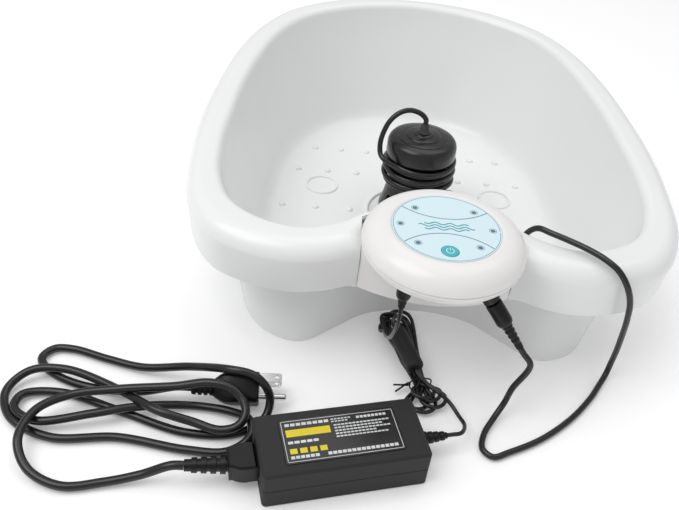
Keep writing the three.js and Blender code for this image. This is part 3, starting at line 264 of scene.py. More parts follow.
def moulded_skin() -> bpy.types.NodeTree:
    """A moulded surface: faint cloudy tone, fine peel, and soft scuffs that dull the gloss."""
    made = GroupMaker(
        "moulded_skin",
        {"Colour": COLOUR, "Shade": COLOUR, "Roughness": NUMBER, "Cloud Scale": NUMBER, "Peel Scale": NUMBER,
         "Scuffs": NUMBER},
        {"Colour": COLOUR, "Roughness": NUMBER, "Height": NUMBER},
    )
    entry = made.entry.outputs
    where = made.node("ShaderNodeTexCoord").outputs["Object"]
    cloud = made.node(
        "ShaderNodeTexNoise", {"Vector": where, "Scale": entry["Cloud Scale"], "Detail": 3.0, "Roughness": 0.55}
    )
    tone = made.node("ShaderNodeMapRange", {"Value": cloud.outputs["Fac"], 1: 0.3, 2: 0.75, 3: 0.0, 4: 1.0})
    peel = made.node(
        "ShaderNodeTexNoise", {"Vector": where, "Scale": entry["Peel Scale"], "Detail": 3.0, "Roughness": 0.6}
    )
    stretched = made.node(
        "ShaderNodeMapping", {"Vector": where, "Scale": (1.0, 0.22, 0.7), "Rotation": (0.3, 0.2, 0.7)}
    )
    along = stretched.outputs["Vector"]
    strokes = made.node("ShaderNodeTexNoise", {"Vector": along, "Scale": 320.0, "Detail": 5.0, "Roughness": 0.7})
    rubbed = made.node("ShaderNodeMapRange", {"Value": strokes.outputs["Fac"], 1: 0.56, 2: 0.72, 3: 0.0, 4: 1.0})
    patches = made.node("ShaderNodeMapRange", {"Value": cloud.outputs["Fac"], 1: 0.48, 2: 0.68, 3: 0.0, 4: 1.0})
    where_rubbed = made.node("ShaderNodeMath", {0: rubbed.outputs[0], 1: patches.outputs[0]}, operation="MULTIPLY")
    dulling = made.node("ShaderNodeMath", {0: where_rubbed.outputs[0], 1: entry["Scuffs"]}, operation="MULTIPLY")
    mixed = made.node("ShaderNodeMix", data_type="RGBA")
    made.tree.links.new(tone.outputs[0], mixed.inputs["Factor"])
    made.tree.links.new(entry["Colour"], mixed.inputs[6])
    made.tree.links.new(entry["Shade"], mixed.inputs[7])
    rough = made.node("ShaderNodeMath", {0: entry["Roughness"], 1: dulling.outputs[0]}, operation="ADD")
    tone_rough = made.node(
        "ShaderNodeMath", {0: tone.outputs[0], 1: 0.05, 2: rough.outputs[0]}, operation="MULTIPLY_ADD"
    )
    depth = made.node(
        "ShaderNodeMath", {0: dulling.outputs[0], 1: -0.5, 2: peel.outputs["Fac"]}, operation="MULTIPLY_ADD"
    )
    made.give("Colour", mixed.outputs[2])
    made.give("Roughness", tone_rough.outputs[0])
    made.give("Height", depth.outputs[0])
    return made.tree


def drawn_metal() -> bpy.types.NodeTree:
    """A plated metal surface: fine lines along one way, and cloudy tarnish."""
    made = GroupMaker(
        "drawn_metal",
        {"Colour": COLOUR, "Shade": COLOUR, "Roughness": NUMBER, "Line Scale": NUMBER},
        {"Colour": COLOUR, "Roughness": NUMBER, "Height": NUMBER},
    )
    entry = made.entry.outputs
    where = made.node("ShaderNodeTexCoord").outputs["Object"]
    along = made.node("ShaderNodeMapping", {"Vector": where, "Scale": (0.06, 1.0, 1.0)})
    lines = made.node(
        "ShaderNodeTexNoise", {"Vector": along.outputs["Vector"], "Scale": entry["Line Scale"], "Detail": 4.0}
    )
    tarnish = made.node("ShaderNodeTexNoise", {"Vector": where, "Scale": 260.0, "Detail": 4.0, "Roughness": 0.6})
    patch = made.node("ShaderNodeMapRange", {"Value": tarnish.outputs["Fac"], 1: 0.45, 2: 0.75, 3: 0.0, 4: 1.0})
    mixed = made.node("ShaderNodeMix", data_type="RGBA")
    made.tree.links.new(patch.outputs[0], mixed.inputs["Factor"])
    made.tree.links.new(entry["Colour"], mixed.inputs[6])
    made.tree.links.new(entry["Shade"], mixed.inputs[7])
    rough = made.node(
        "ShaderNodeMath", {0: lines.outputs["Fac"], 1: 0.12, 2: entry["Roughness"]}, operation="MULTIPLY_ADD"
    )
    made.give("Colour", mixed.outputs[2])
    made.give("Roughness", rough.outputs[0])
    made.give("Height", lines.outputs["Fac"])
    return made.tree


# ---------------------------------------------------------------- finishes
class Surface(Enum):
    """How a finish is built."""

    MOULDED = "moulded_skin"
    METAL = "drawn_metal"


@dataclass(frozen=True)
class Finish:
    """A finish: its colours, gloss, fine relief and the record slot it stands for."""

    name: str
    slot: str
    colour: str
    shade: str
    roughness: float
    surface: Surface = Surface.MOULDED
    scale: float = 900.0  # of the fine relief
    relief: float = 0.05  # height of the fine relief, millimetres
    cloud: float = 9.0
    scuffs: float = 0.15
    coat: float = 0.0
    coat_roughness: float = 0.08
    specular: float = 0.5
    transmission: float = 0.0
    under_glow: float = 0.0

    def make(self) -> bpy.types.Material:
        """Builds the finish's material, or returns the one already built."""
        found = bpy.data.materials.get(self.name)
        if found is not None:
            return found
        material = bpy.data.materials.new(self.name)
        material.use_nodes = True
        tree = material.node_tree
        shader = tree.nodes["Principled BSDF"]
        group = tree.nodes.new("ShaderNodeGroup")
        group.node_tree = bpy.data.node_groups[self.surface.value]
        group.inputs["Colour"].default_value = linear(self.colour)
        group.inputs["Shade"].default_value = linear(self.shade)
        group.inputs["Roughness"].default_value = self.roughness
        bump = tree.nodes.new("ShaderNodeBump")
        bump.inputs["Strength"].default_value = 0.35
        bump.inputs["Distance"].default_value = self.relief * MM
        if self.surface is Surface.METAL:
            group.inputs["Line Scale"].default_value = self.scale
            shader.inputs["Metallic"].default_value = 1.0
        else:
            group.inputs["Cloud Scale"].default_value = self.cloud
            group.inputs["Peel Scale"].default_value = self.scale
            group.inputs["Scuffs"].default_value = self.scuffs
            shader.inputs["Coat Weight"].default_value = self.coat
            shader.inputs["Coat Roughness"].default_value = self.coat_roughness
            shader.inputs["Transmission Weight"].default_value = self.transmission
            shader.inputs["Subsurface Weight"].default_value = self.under_glow
            shader.inputs["Subsurface Radius"].default_value = (0.004, 0.0035, 0.003)
        shader.inputs["Specular IOR Level"].default_value = self.specular
        tree.links.new(group.outputs["Colour"], shader.inputs["Base Color"])
        tree.links.new(group.outputs["Roughness"], shader.inputs["Roughness"])
        tree.links.new(group.outputs["Height"], bump.inputs["Height"])
        tree.links.new(bump.outputs["Normal"], shader.inputs["Normal"])
        material.diffuse_color = linear(self.colour)
        return material


TUB_WHITE = Finish(
    "tub_white", "tub_white", "e6e8e9", "e0e2e3", 0.27,
    scale=420, relief=0.06, cloud=6, scuffs=0.1, coat=0.25,
)
HEAD_WHITE = Finish(
    "head_white", "head_white", "e9e7e5", "e4e2df", 0.3,
    scale=700, relief=0.05, cloud=14, coat=0.15,
)
LABEL_BLUE = Finish(
    "label_blue", "label_blue", "b9dde8", "aed7e4", 0.33,
    scale=1500, relief=0.02, cloud=22, scuffs=0.2,
)
LABEL_INK = Finish(
    "label_ink", "label_blue", "4f7f8b", "5d8f9a", 0.4,
    scale=2200, relief=0.02, cloud=60, scuffs=0.1,
)
MOTIF_TEAL = Finish("motif_teal", "button_teal", "3f9fab", "52adb8", 0.4, scale=2200, relief=0.02, cloud=60)
BUTTON_TEAL = Finish(
    "button_teal", "button_teal", "49b2bd", "3fa5b0", 0.35,
    scale=1600, relief=0.03, cloud=70, coat=0.2,
)
BUTTON_MARK = Finish("button_mark", "label_blue", "e6f6f8", "d8eff2", 0.35, scale=2200, relief=0.02, cloud=90)
INDICATOR = Finish(
    "indicator_clear", "indicator_clear", "47808c", "5d939d", 0.12,
    scale=1800, relief=0.01, cloud=80, coat=0.6,
)
ARRAY_BLACK = Finish(
    "array_black", "array_black", "060607", "0a0a0b", 0.2,
    scale=620, relief=0.05, cloud=26, coat=0.2, specular=0.4,
)
CORD_BLACK = Finish(
    "cord_black", "cord_black", "050506", "090909", 0.3,
    scale=1300, relief=0.06, cloud=45, scuffs=0.22, specular=0.35,
)
PLUG_BLACK = Finish(
    "plug_black", "cord_black", "060607", "0b0b0c", 0.34,
    scale=1500, relief=0.08, cloud=60, scuffs=0.25, specular=0.35,
)
CASE_BLACK = Finish(
    "case_black", "case_black", "0a0a0b", "101011", 0.5,
    scale=2600, relief=0.16, cloud=30, scuffs=0.12, specular=0.35,
)
SLEEVE_GREY = Finish("sleeve_grey", "case_black", "151517", "1c1c1e", 0.58, scale=2000, relief=0.12, cloud=60)
LABEL_BLACK = Finish(
    "label_black", "label_black", "0e0e10", "141416", 0.36,
    scale=2400, relief=0.02, cloud=40, coat=0.2,
)
PRINT_WHITE = Finish(
    "print_white", "label_black", "dfe1e0", "c6c9c8", 0.45,
    scale=2600, relief=0.02, cloud=90,
)
PRINT_YELLOW = Finish(
    "print_yellow", "coil_tape", "e6d21c", "dcc817", 0.42,
    scale=2600, relief=0.02, cloud=50,
)
RUBBER = Finish(
    "seal_rubber", "seal_rubber", "2c2c2e", "38383a", 0.66,
    scale=1800, relief=0.12, cloud=50, specular=0.35,
)
METAL = Finish(
    "plated_metal", "plated_metal", "cfd1d4", "b3b5b8", 0.2, Surface.METAL,
    scale=2400, relief=0.02,
)
BOARD = Finish(
    "board_green", "board_green", "1d6238", "174f2d", 0.42,
    scale=1400, relief=0.05, cloud=180, coat=0.3,
)
TAPE = Finish("coil_tape", "coil_tape", "d4b42c", "bd9e22", 0.45, scale=1800, relief=0.05, cloud=90)
SLEEVE_BLUE = Finish(
    "sleeve_blue", "sleeve_blue", "23408f", "1b3478", 0.35,
    scale=1500, relief=0.03, cloud=80,
)


# ---------------------------------------------------------------- mesh helpers
def as_points(values: list[tuple[float, ...]], z: float = 0.0) -> list[Vector]:
    """Millimetre points as Vectors in millimetres; plan points get the height z."""
    return [Vector((*p, z)) if len(p) == 2 else Vector(p) for p in values]


def smooth_route(points: list[Vector], per_span: int, closed: bool = False) -> list[Vector]:
    """Points along a centripetal Catmull-Rom curve.

    Args:
        points: the points that the curve passes through.
        per_span: how many points to give from one of them to the next.
        closed: whether the curve closes on itself.

    Returns:
        The curve's points, with the last point on an open curve.
    """
    if closed:
        padded = [points[-1], *points, points[0], points[1]]
    else:
        padded = [points[0] * 2 - points[1], *points, points[-1] * 2 - points[-2]]
    made = []
    for p0, p1, p2, p3 in zip(padded, padded[1:], padded[2:], padded[3:]):
        d0, d1, d2 = (max((b - a).length ** 0.5, 1e-6) for a, b in ((p0, p1), (p1, p2), (p2, p3)))
        t1 = ((p1 - p0) / d0 - (p2 - p0) / (d0 + d1) + (p2 - p1) / d1) * d1
        t2 = ((p2 - p1) / d1 - (p3 - p1) / (d1 + d2) + (p3 - p2) / d2) * d1
        square = (p2 - p1) * 3 - t1 * 2 - t2
        cube = (p1 - p2) * 2 + t1 + t2
        for k in range(per_span):
            t = k / per_span
            made.append(p1 + t1 * t + square * t * t + cube * t * t * t)
    if not closed:
        made.append(points[-1].copy())
    return made


def evenly(points: list[Vector], spacing: float) -> list[Vector]:
    """The same line with points at equal steps of about the given spacing."""
    lengths = [0.0]
    for a, b in zip(points, points[1:]):
        lengths.append(lengths[-1] + (b - a).length)
    steps = max(2, round(lengths[-1] / spacing))
    made, i = [], 0
    for k in range(steps + 1):
        s = lengths[-1] * k / steps
        while i < len(points) - 2 and lengths[i + 1] < s:
            i += 1
        span = max(lengths[i + 1] - lengths[i], 1e-9)
        made.append(points[i].lerp(points[i + 1], (s - lengths[i]) / span))
    return made


def length_of(points: list[Vector]) -> float:
    """The length of a line through points."""
    return sum((b - a).length for a, b in zip(points, points[1:]))


def spun(profile: Profile, steps: int = 96) -> bmesh.types.BMesh:
    """A profile of (radius, height) points in millimetres, turned right round +Z."""
    bm = bmesh.new()
    points = [bm.verts.new((r * MM, 0, z * MM)) for r, z in profile]
    edges = [bm.edges.new(pair) for pair in zip(points, points[1:])]
    turn = {"cent": (0, 0, 0), "axis": (0, 0, 1), "angle": 2 * math.pi, "steps": steps, "use_merge": True}
    bmesh.ops.spin(bm, geom=points + edges, **turn)
    bmesh.ops.remove_doubles(bm, verts=bm.verts, dist=1e-7)
    bmesh.ops.recalc_face_normals(bm, faces=bm.faces)
    return bm


def lofted(rings: list[list[Vector]]) -> bmesh.types.BMesh:
    """A closed skin through rings of equally many points in millimetres, capped at both ends."""
    bm = bmesh.new()
    ring = bmesh.ops.create_circle(bm, segments=len(rings[0]), radius=1.0, cap_ends=True)["verts"]
    first = bm.faces[:][0]
    edges = first.edges[:]
    ring = [loop.vert for loop in first.loops]
    for i, places in enumerate(rings):
        if i > 0:
            grown = bmesh.ops.extrude_edge_only(bm, edges=edges)["geom"]
            new = {g for g in grown if isinstance(g, bmesh.types.BMVert)}
            ring = [next(e.other_vert(v) for e in v.link_edges if e.other_vert(v) in new) for v in ring]
            edges = [g for g in grown if isinstance(g, bmesh.types.BMEdge) and set(g.verts) <= new]
        for vertex, place in zip(ring, places):
            vertex.co = place * MM
    bmesh.ops.contextual_create(bm, geom=edges)
    bmesh.ops.recalc_face_normals(bm, faces=bm.faces)
    return bm


def prism(outline: list[Vector], z0: float, z1: float) -> bmesh.types.BMesh:
    """An outline in plan, in millimetres, drawn up from z0 to z1."""
    bm = bmesh.new()
    face = bm.faces.new([bm.verts.new((p.x * MM, p.y * MM, z0 * MM)) for p in outline])
    grown = bmesh.ops.extrude_face_region(bm, geom=[face])["geom"]
    top = [g for g in grown if isinstance(g, bmesh.types.BMVert)]
    bmesh.ops.translate(bm, verts=top, vec=(0, 0, (z1 - z0) * MM))
    bmesh.ops.recalc_face_normals(bm, faces=bm.faces)
    return bm


def cylinder(radius: float, z0: float, z1: float, sides: int = 48) -> bmesh.types.BMesh:
    """An upright cylinder in millimetres."""
    return spun([(0, z0), (radius, z0), (radius, z1), (0, z1)], sides)


def arc(radius: float, start: float, end: float, steps: int, centre: tuple[float, float] = (0, 0)) -> list[Vector]:
    """Plan points on an arc, from the start to the end angle in degrees."""
    turns = [math.radians(start + (end - start) * k / steps) for k in range(steps + 1)]
    return [Vector((centre[0] + radius * math.cos(t), centre[1] + radius * math.sin(t), 0)) for t in turns]


def rounded_box(length: float, width: float, corner: float, steps: int = 6) -> list[Vector]:
    """A rectangle in plan with round corners."""
    x, y = length / 2 - corner, width / 2 - corner
    spots = ((x, y, 0), (-x, y, 90), (-x, -y, 180), (x, -y, 270))
    return [p for cx, cy, a in spots for p in arc(corner, a, a + 90, steps, (cx, cy))]


def moved(bm: bmesh.types.BMesh, matrix: Matrix) -> bmesh.types.BMesh:
    """The same mesh, moved by a matrix."""
    bmesh.ops.transform(bm, matrix=matrix, verts=bm.verts)
    return bm


def shift(x: float, y: float, z: float = 0.0) -> Matrix:
    """A move by millimetres."""
    return Matrix.Translation(Vector((x, y, z)) * MM)


def make_object(name: str, bm: bmesh.types.BMesh) -> bpy.types.Object:
    """An object at the origin from a bmesh, which is freed."""
    mesh = bpy.data.meshes.new(name)
    bm.to_mesh(mesh)
    bm.free()
    made = bpy.data.objects.new(name, mesh)
    bpy.context.scene.collection.objects.link(made)
    return made


def settle(made: bpy.types.Object) -> None:
    """Makes an object's live modifiers part of its mesh."""
    bpy.context.view_layer.update()
    seen = made.evaluated_get(bpy.context.evaluated_depsgraph_get())
    mesh = bpy.data.meshes.new_from_object(seen)
    made.modifiers.clear()
    made.data = mesh


def combine(made: bpy.types.Object, helpers: list[bpy.types.Object], operation: str) -> None:
    """Cuts helpers out of an object, or joins them to it, one after another, and removes them."""
    for helper in helpers:
        step = made.modifiers.new("shape", "BOOLEAN")
        step.operation = operation
        step.object = helper
        step.solver = "EXACT"
    settle(made)
    for helper in helpers:
        bpy.data.objects.remove(helper)


def carve(made: bpy.types.Object, tools: list[bmesh.types.BMesh], operation: str = "DIFFERENCE") -> None:
    """Cuts meshes out of an object, or keeps or joins what they share with it."""
    combine(made, [make_object("tool", tool) for tool in tools], operation)


def round_edges(made: bpy.types.Object, width: float, segments: int = 3, angle: float = 32.0) -> None:
    """Rounds an object's sharp edges by a width in millimetres."""
    step = made.modifiers.new("rounding", "BEVEL")
    step.width = width * MM
    step.segments = segments
    step.limit_method = "ANGLE"
    step.angle_limit = math.radians(angle)
    step.harden_normals = False


def dress(
    made: bpy.types.Object, finish: Finish, body: Body, replaces: tuple[str, ...] = (), sharp: float = 38.0
) -> bpy.types.Object:
    """Gives a piece its finish, shading, body, slot and the nodes it stands for.

    Args:
        made: the piece.
        finish: its finish.
        body: the CAD body that it rides on.
        replaces: the CAD nodes that it stands for.
        sharp: edges sharper than this many degrees stay sharp.

    Returns:
        The piece.
    """
    made.data.materials.clear()
    made.data.materials.append(finish.make())
    made.data.shade_smooth()
    made.data.set_sharp_from_angle(angle=math.radians(sharp))
    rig.ride(made, body.value)
    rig.slot(made, finish.slot)
    if replaces:
        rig.replaces(made, *replaces)
    LOG.info("piece %s: %d faces", made.name, len(made.data.polygons))
    return made


def refined(node: str, name: str, rounding: float = 0.0, segments: int = 2) -> bpy.types.Object:
    """A clean copy of a CAD node's mesh: its triangles merged to flat faces, its edges rounded.

    Args:
        node: the CAD node.
        name: the new piece's name.
        rounding: the width of its rounded edges in millimetres.
        segments: steps round each rounded edge.

    Returns:
        The new object, not dressed.
    """
    bm = bmesh.new()
    bm.from_mesh(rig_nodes()[node].data)
    bmesh.ops.remove_doubles(bm, verts=bm.verts, dist=2e-6)
    bmesh.ops.dissolve_limit(bm, angle_limit=math.radians(1.0), verts=bm.verts, edges=bm.edges)
    made = make_object(name, bm)
    if rounding > 0:
        round_edges(made, rounding, segments)
    return made


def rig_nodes() -> dict[str, bpy.types.Object]:
    """The CAD nodes by name."""
    return {o.name: o for o in bpy.context.scene.objects if "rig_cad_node" in o}


def tube_mesh(name: str, route: list[Vector], diameter: float, fineness: int = 3) -> bpy.types.Object:
    """A round tube with closed ends along a route in millimetres, as a mesh object."""
    curve = bpy.data.curves.new(name, "CURVE")
    curve.dimensions = "3D"
    spline = curve.splines.new("POLY")
    spline.points.add(len(route) - 1)
    for point, place in zip(spline.points, route):
        point.co = (*(place * MM), 1)
    curve.bevel_depth = diameter / 2 * MM
    curve.bevel_resolution = fineness
    curve.use_fill_caps = True
    line = bpy.data.objects.new(name + "_line", curve)
    bpy.context.scene.collection.objects.link(line)
    bpy.context.view_layer.update()
    mesh = bpy.data.meshes.new_from_object(line.evaluated_get(bpy.context.evaluated_depsgraph_get()))
    bpy.data.objects.remove(line)
    bm = bmesh.new()
    bm.from_mesh(mesh)
    bmesh.ops.remove_doubles(bm, verts=bm.verts, dist=1e-7)
    bmesh.ops.recalc_face_normals(bm, faces=bm.faces)
    return make_object(name, bm)


def centre_of(node: str) -> Vector:
    """The plan centre of a CAD node's box, in millimetres."""
    low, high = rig.box(node)
    return (low + high) / 2 / MM


def printed(shapes: list[bmesh.types.BMesh], name: str) -> bpy.types.Object:
    """Several small closed shapes as one object."""
    whole = bmesh.new()
    for shape in shapes:
        mesh = bpy.data.meshes.new("mark")
        shape.to_mesh(mesh)
        shape.free()
        whole.from_mesh(mesh)
        bpy.data.meshes.remove(mesh)
    return make_object(name, whole)


def stroke(line: list[Vector], width: float, z: float, height: float = 0.05) -> bmesh.types.BMesh:
    """A flat printed stroke of even width along a line in plan."""
    left, right = [], []
    for i, p in enumerate(line):
        along = line[min(i + 1, len(line) - 1)] - line[max(i - 1, 0)]
        across = Vector((-along.y, along.x, 0)).normalized() * width / 2
        left.append(p + across)
        right.append(p - across)
    return prism(left + right[::-1], z, z + height)


# ---------------------------------------------------------------- the tub
@dataclass
class Tub:
    """The moulded tub: its walls, deep rim, standing ring and raised floor marks."""

    per_span: int = 8  # points from one outline point to the next
    wall: float = 3.0
    foot_wall: float = 3.2
    floor: float = 11.4
    floor_radius: float = 14.0
    crest_front: float = 108.2
    crest_slope: float = 0.058
    crest_front_y: float = -195.0
    skirt_drop: float = 41.5
    skirt_draft: float = 2.5
    shoulder: float = 13.0
    inner_round: float = 7.0
    seat_dip: float = 9.6
    seat_dip_half: float = 41.0
    seat_dip_end: float = 62.0

    def outlines(self) -> dict[str, list[Vector]]:
        """The four outlines of the tub, each from its right half."""
        halves = {
            "outer": [
                (0, -172), (32, -176), (58, -184.5), (80, -193), (105, -196.5), (137, -190), (163, -175),
                (183, -140), (191.5, -76), (192, -25), (188, 25), (179.5, 85), (163, 142), (138, 185),
                (104, 213.5), (60, 233), (0, 240.5),
            ],
            "inner": [
                (0, -123.7), (28.5, -128.5), (51.3, -140.8), (71, -157), (98, -167), (127, -160.5),
                (149, -143.5), (161.5, -115), (166, -72), (164.5, -22), (161, 25), (152, 82), (137, 134),
                (115, 170), (86, 192.5), (50, 208.5), (0, 217),
            ],
            "floor": [
                (0, -112), (24, -116), (45.6, -125), (65, -141), (90, -154), (112, -150), (126, -134),
                (134, -107), (137.5, -68), (137.5, -22), (136, 22), (131, 72), (119.5, 112), (98, 148),
                (72, 171), (42, 184), (0, 187),
            ],
            "base": [
                (0, -128.5), (24, -131), (45, -139), (66, -156), (93, -175), (119, -167.5), (136, -147),
                (147, -112), (151, -68), (151, -22), (148.5, 25), (143, 78), (130.5, 120), (108, 157),
                (80, 181), (47, 195), (0, 200),
            ],
        }
        made = {}
        for name, half in halves.items():
            left = [(-x, y) for x, y in half[-2:0:-1]]
            made[name] = smooth_route(as_points([*half, *left]), self.per_span, closed=True)
        return made

    def crest(self, p: Vector) -> float:
        """Height of the rim's crest over a point of the plan."""
        plain = self.crest_front + self.crest_slope * (p.y - self.crest_front_y)
        if p.y > -100:
            return plain
        t = (self.seat_dip_end - abs(p.x)) / (self.seat_dip_end - self.seat_dip_half)
        t = min(max(t, 0.0), 1.0)
        return plain - self.seat_dip * t * t * (3 - 2 * t)

    def rings(self) -> list[list[Vector]]:
        """The rings of the tub's skin, from under the floor, round the rim and in to the floor."""
        lines = self.outlines()
        outer, inner, floor, base = (lines[k] for k in ("outer", "inner", "floor", "base"))
        crests = [self.crest(p) for p in outer]

        def level(line: list[Vector], z: float) -> list[Vector]:
            """The line at one height."""
            return [Vector((p.x, p.y, z)) for p in line]

        def below(line: list[Vector], drop: float) -> list[Vector]:
            """The line at a depth under the crest."""
            return [Vector((p.x, p.y, z - drop)) for p, z in zip(line, crests)]

        def shrunk(line: list[Vector], d: float) -> list[Vector]:
            """The line moved outwards by d."""
            made = []
            for i, p in enumerate(line):
                along = line[(i + 1) % len(line)] - line[i - 1]
                made.append(p + Vector((along.y, -along.x, 0)).normalized() * d)
            return made

        def mixed(a: list[Vector], b: list[Vector], t: float) -> list[Vector]:
            """The line a share t of the way from a to b."""
            return [p.lerp(q, t) for p, q in zip(a, b)]

        def corner(radius: float, start: float, end: float, steps: int) -> list[list[Vector]]:
            """Rings of the rim's outer rounding, between two angles from upright."""
            turns = [math.radians(start + (end - start) * k / steps) for k in range(steps + 1)]
            return [
                below(shrunk(outer, radius * math.cos(t) - self.shoulder), self.shoulder - radius * math.sin(t))
                for t in turns
            ]

        lip = [
            below(
                shrunk(inner, self.inner_round * (1 - math.cos(math.radians(90 - 11.25 * k)))),
                self.inner_round * (1 - math.sin(math.radians(90 - 11.25 * k))),
            )
            for k in range(9)
        ]
        wall_foot = level(mixed(floor, inner, 0.1), self.floor + self.floor_radius)
        wall_end = level(mixed(floor, inner, -0.066), self.floor)
        floor_start = level(shrunk(floor, -9), self.floor)
        turn_in = []
        for k in range(9):
            t = k / 8
            turn_in.append(mixed(mixed(wall_foot, wall_end, t), mixed(wall_end, floor_start, t), t))
        top_of_wall = below(inner, self.inner_round)
        return [
            level(shrunk(base, -self.foot_wall), self.floor - self.wall),
            level(shrunk(base, -self.foot_wall), 0.6),
            level(shrunk(base, 0.6 - self.foot_wall), 0),
            level(shrunk(base, -0.6), 0),
            level(base, 0.6),
            below(shrunk(inner, self.wall), self.wall + 4),
            below(shrunk(inner, self.inner_round), self.wall),
            *corner(self.shoulder - self.wall, 90, 0, 6),
            below(shrunk(outer, 0.6 - self.wall - self.skirt_draft), self.skirt_drop),
            below(shrunk(outer, -0.6 - self.skirt_draft), self.skirt_drop),
            below(shrunk(outer, -self.skirt_draft), self.skirt_drop - 0.6),
            *corner(self.shoulder, 0, 90, 12),
            *lip,
            *[mixed(top_of_wall, wall_foot, t) for t in (0.25, 0.5, 0.75)],
            *turn_in,
        ]

    def raised_marks(self) -> list[bmesh.types.BMesh]:
        """The ring round the array, the two foot rings and the rows of low nubs."""

        def ridge(radius: float, width: float, height: float) -> Profile:
            """The section of a raised ring, rounded over its top."""
            half = width / 2
            over = [(radius + half * math.cos(t), height * (0.3 + 0.7 * math.sin(t))) for t in
                    (math.radians(a) for a in range(0, 181, 22))]
            return [(radius - half, -1), (radius + half, -1), *over, (radius - half, -1)]

        nub = [(0, -0.5), (3.4, -0.5), *[(3.4 * math.cos(t), 2.6 * math.sin(t)) for t in
               (math.radians(a) for a in range(9, 90, 18))], (0, 2.6)]
        rows = ((105, (42, 69, 96)), (61, (52, 81.5, 111)), (-5, (58, 90.5, 122)), (-49, (58, 86, 113)),
                (-92, (52, 80, 107)))
        made = [moved(spun(ridge(41.5, 3.2, 2.4), 96), shift(0, -3, self.floor))]
        for side in (-1, 1):
            made.append(moved(spun(ridge(15, 2.6, 1.8), 64), shift(side * 86, 34, self.floor)))
            made += [moved(spun(nub, 20), shift(side * x, y, self.floor)) for y, xs in rows for x in xs]
        return made

    def build(self) -> None:
        """Builds the tub with its pocket and raised marks."""
        tub = make_object("tub_moulding", lofted(self.rings()))
        combine(tub, [printed(self.raised_marks(), "marks")], "UNION")
        half = HEAD.pocket_half
        in_front = as_points([(-half, -213), (half, -213), (half, -181), (-half, -181)])
        low, high = 54.5, 128.2  # the pocket's cutters reach past the rim both ways
        carve(tub, [prism(outline, low, high) for outline in (HEAD.pocket(0), in_front)])
        dress(tub, TUB_WHITE, Body.TUB, ("basin_tub",), sharp=34)


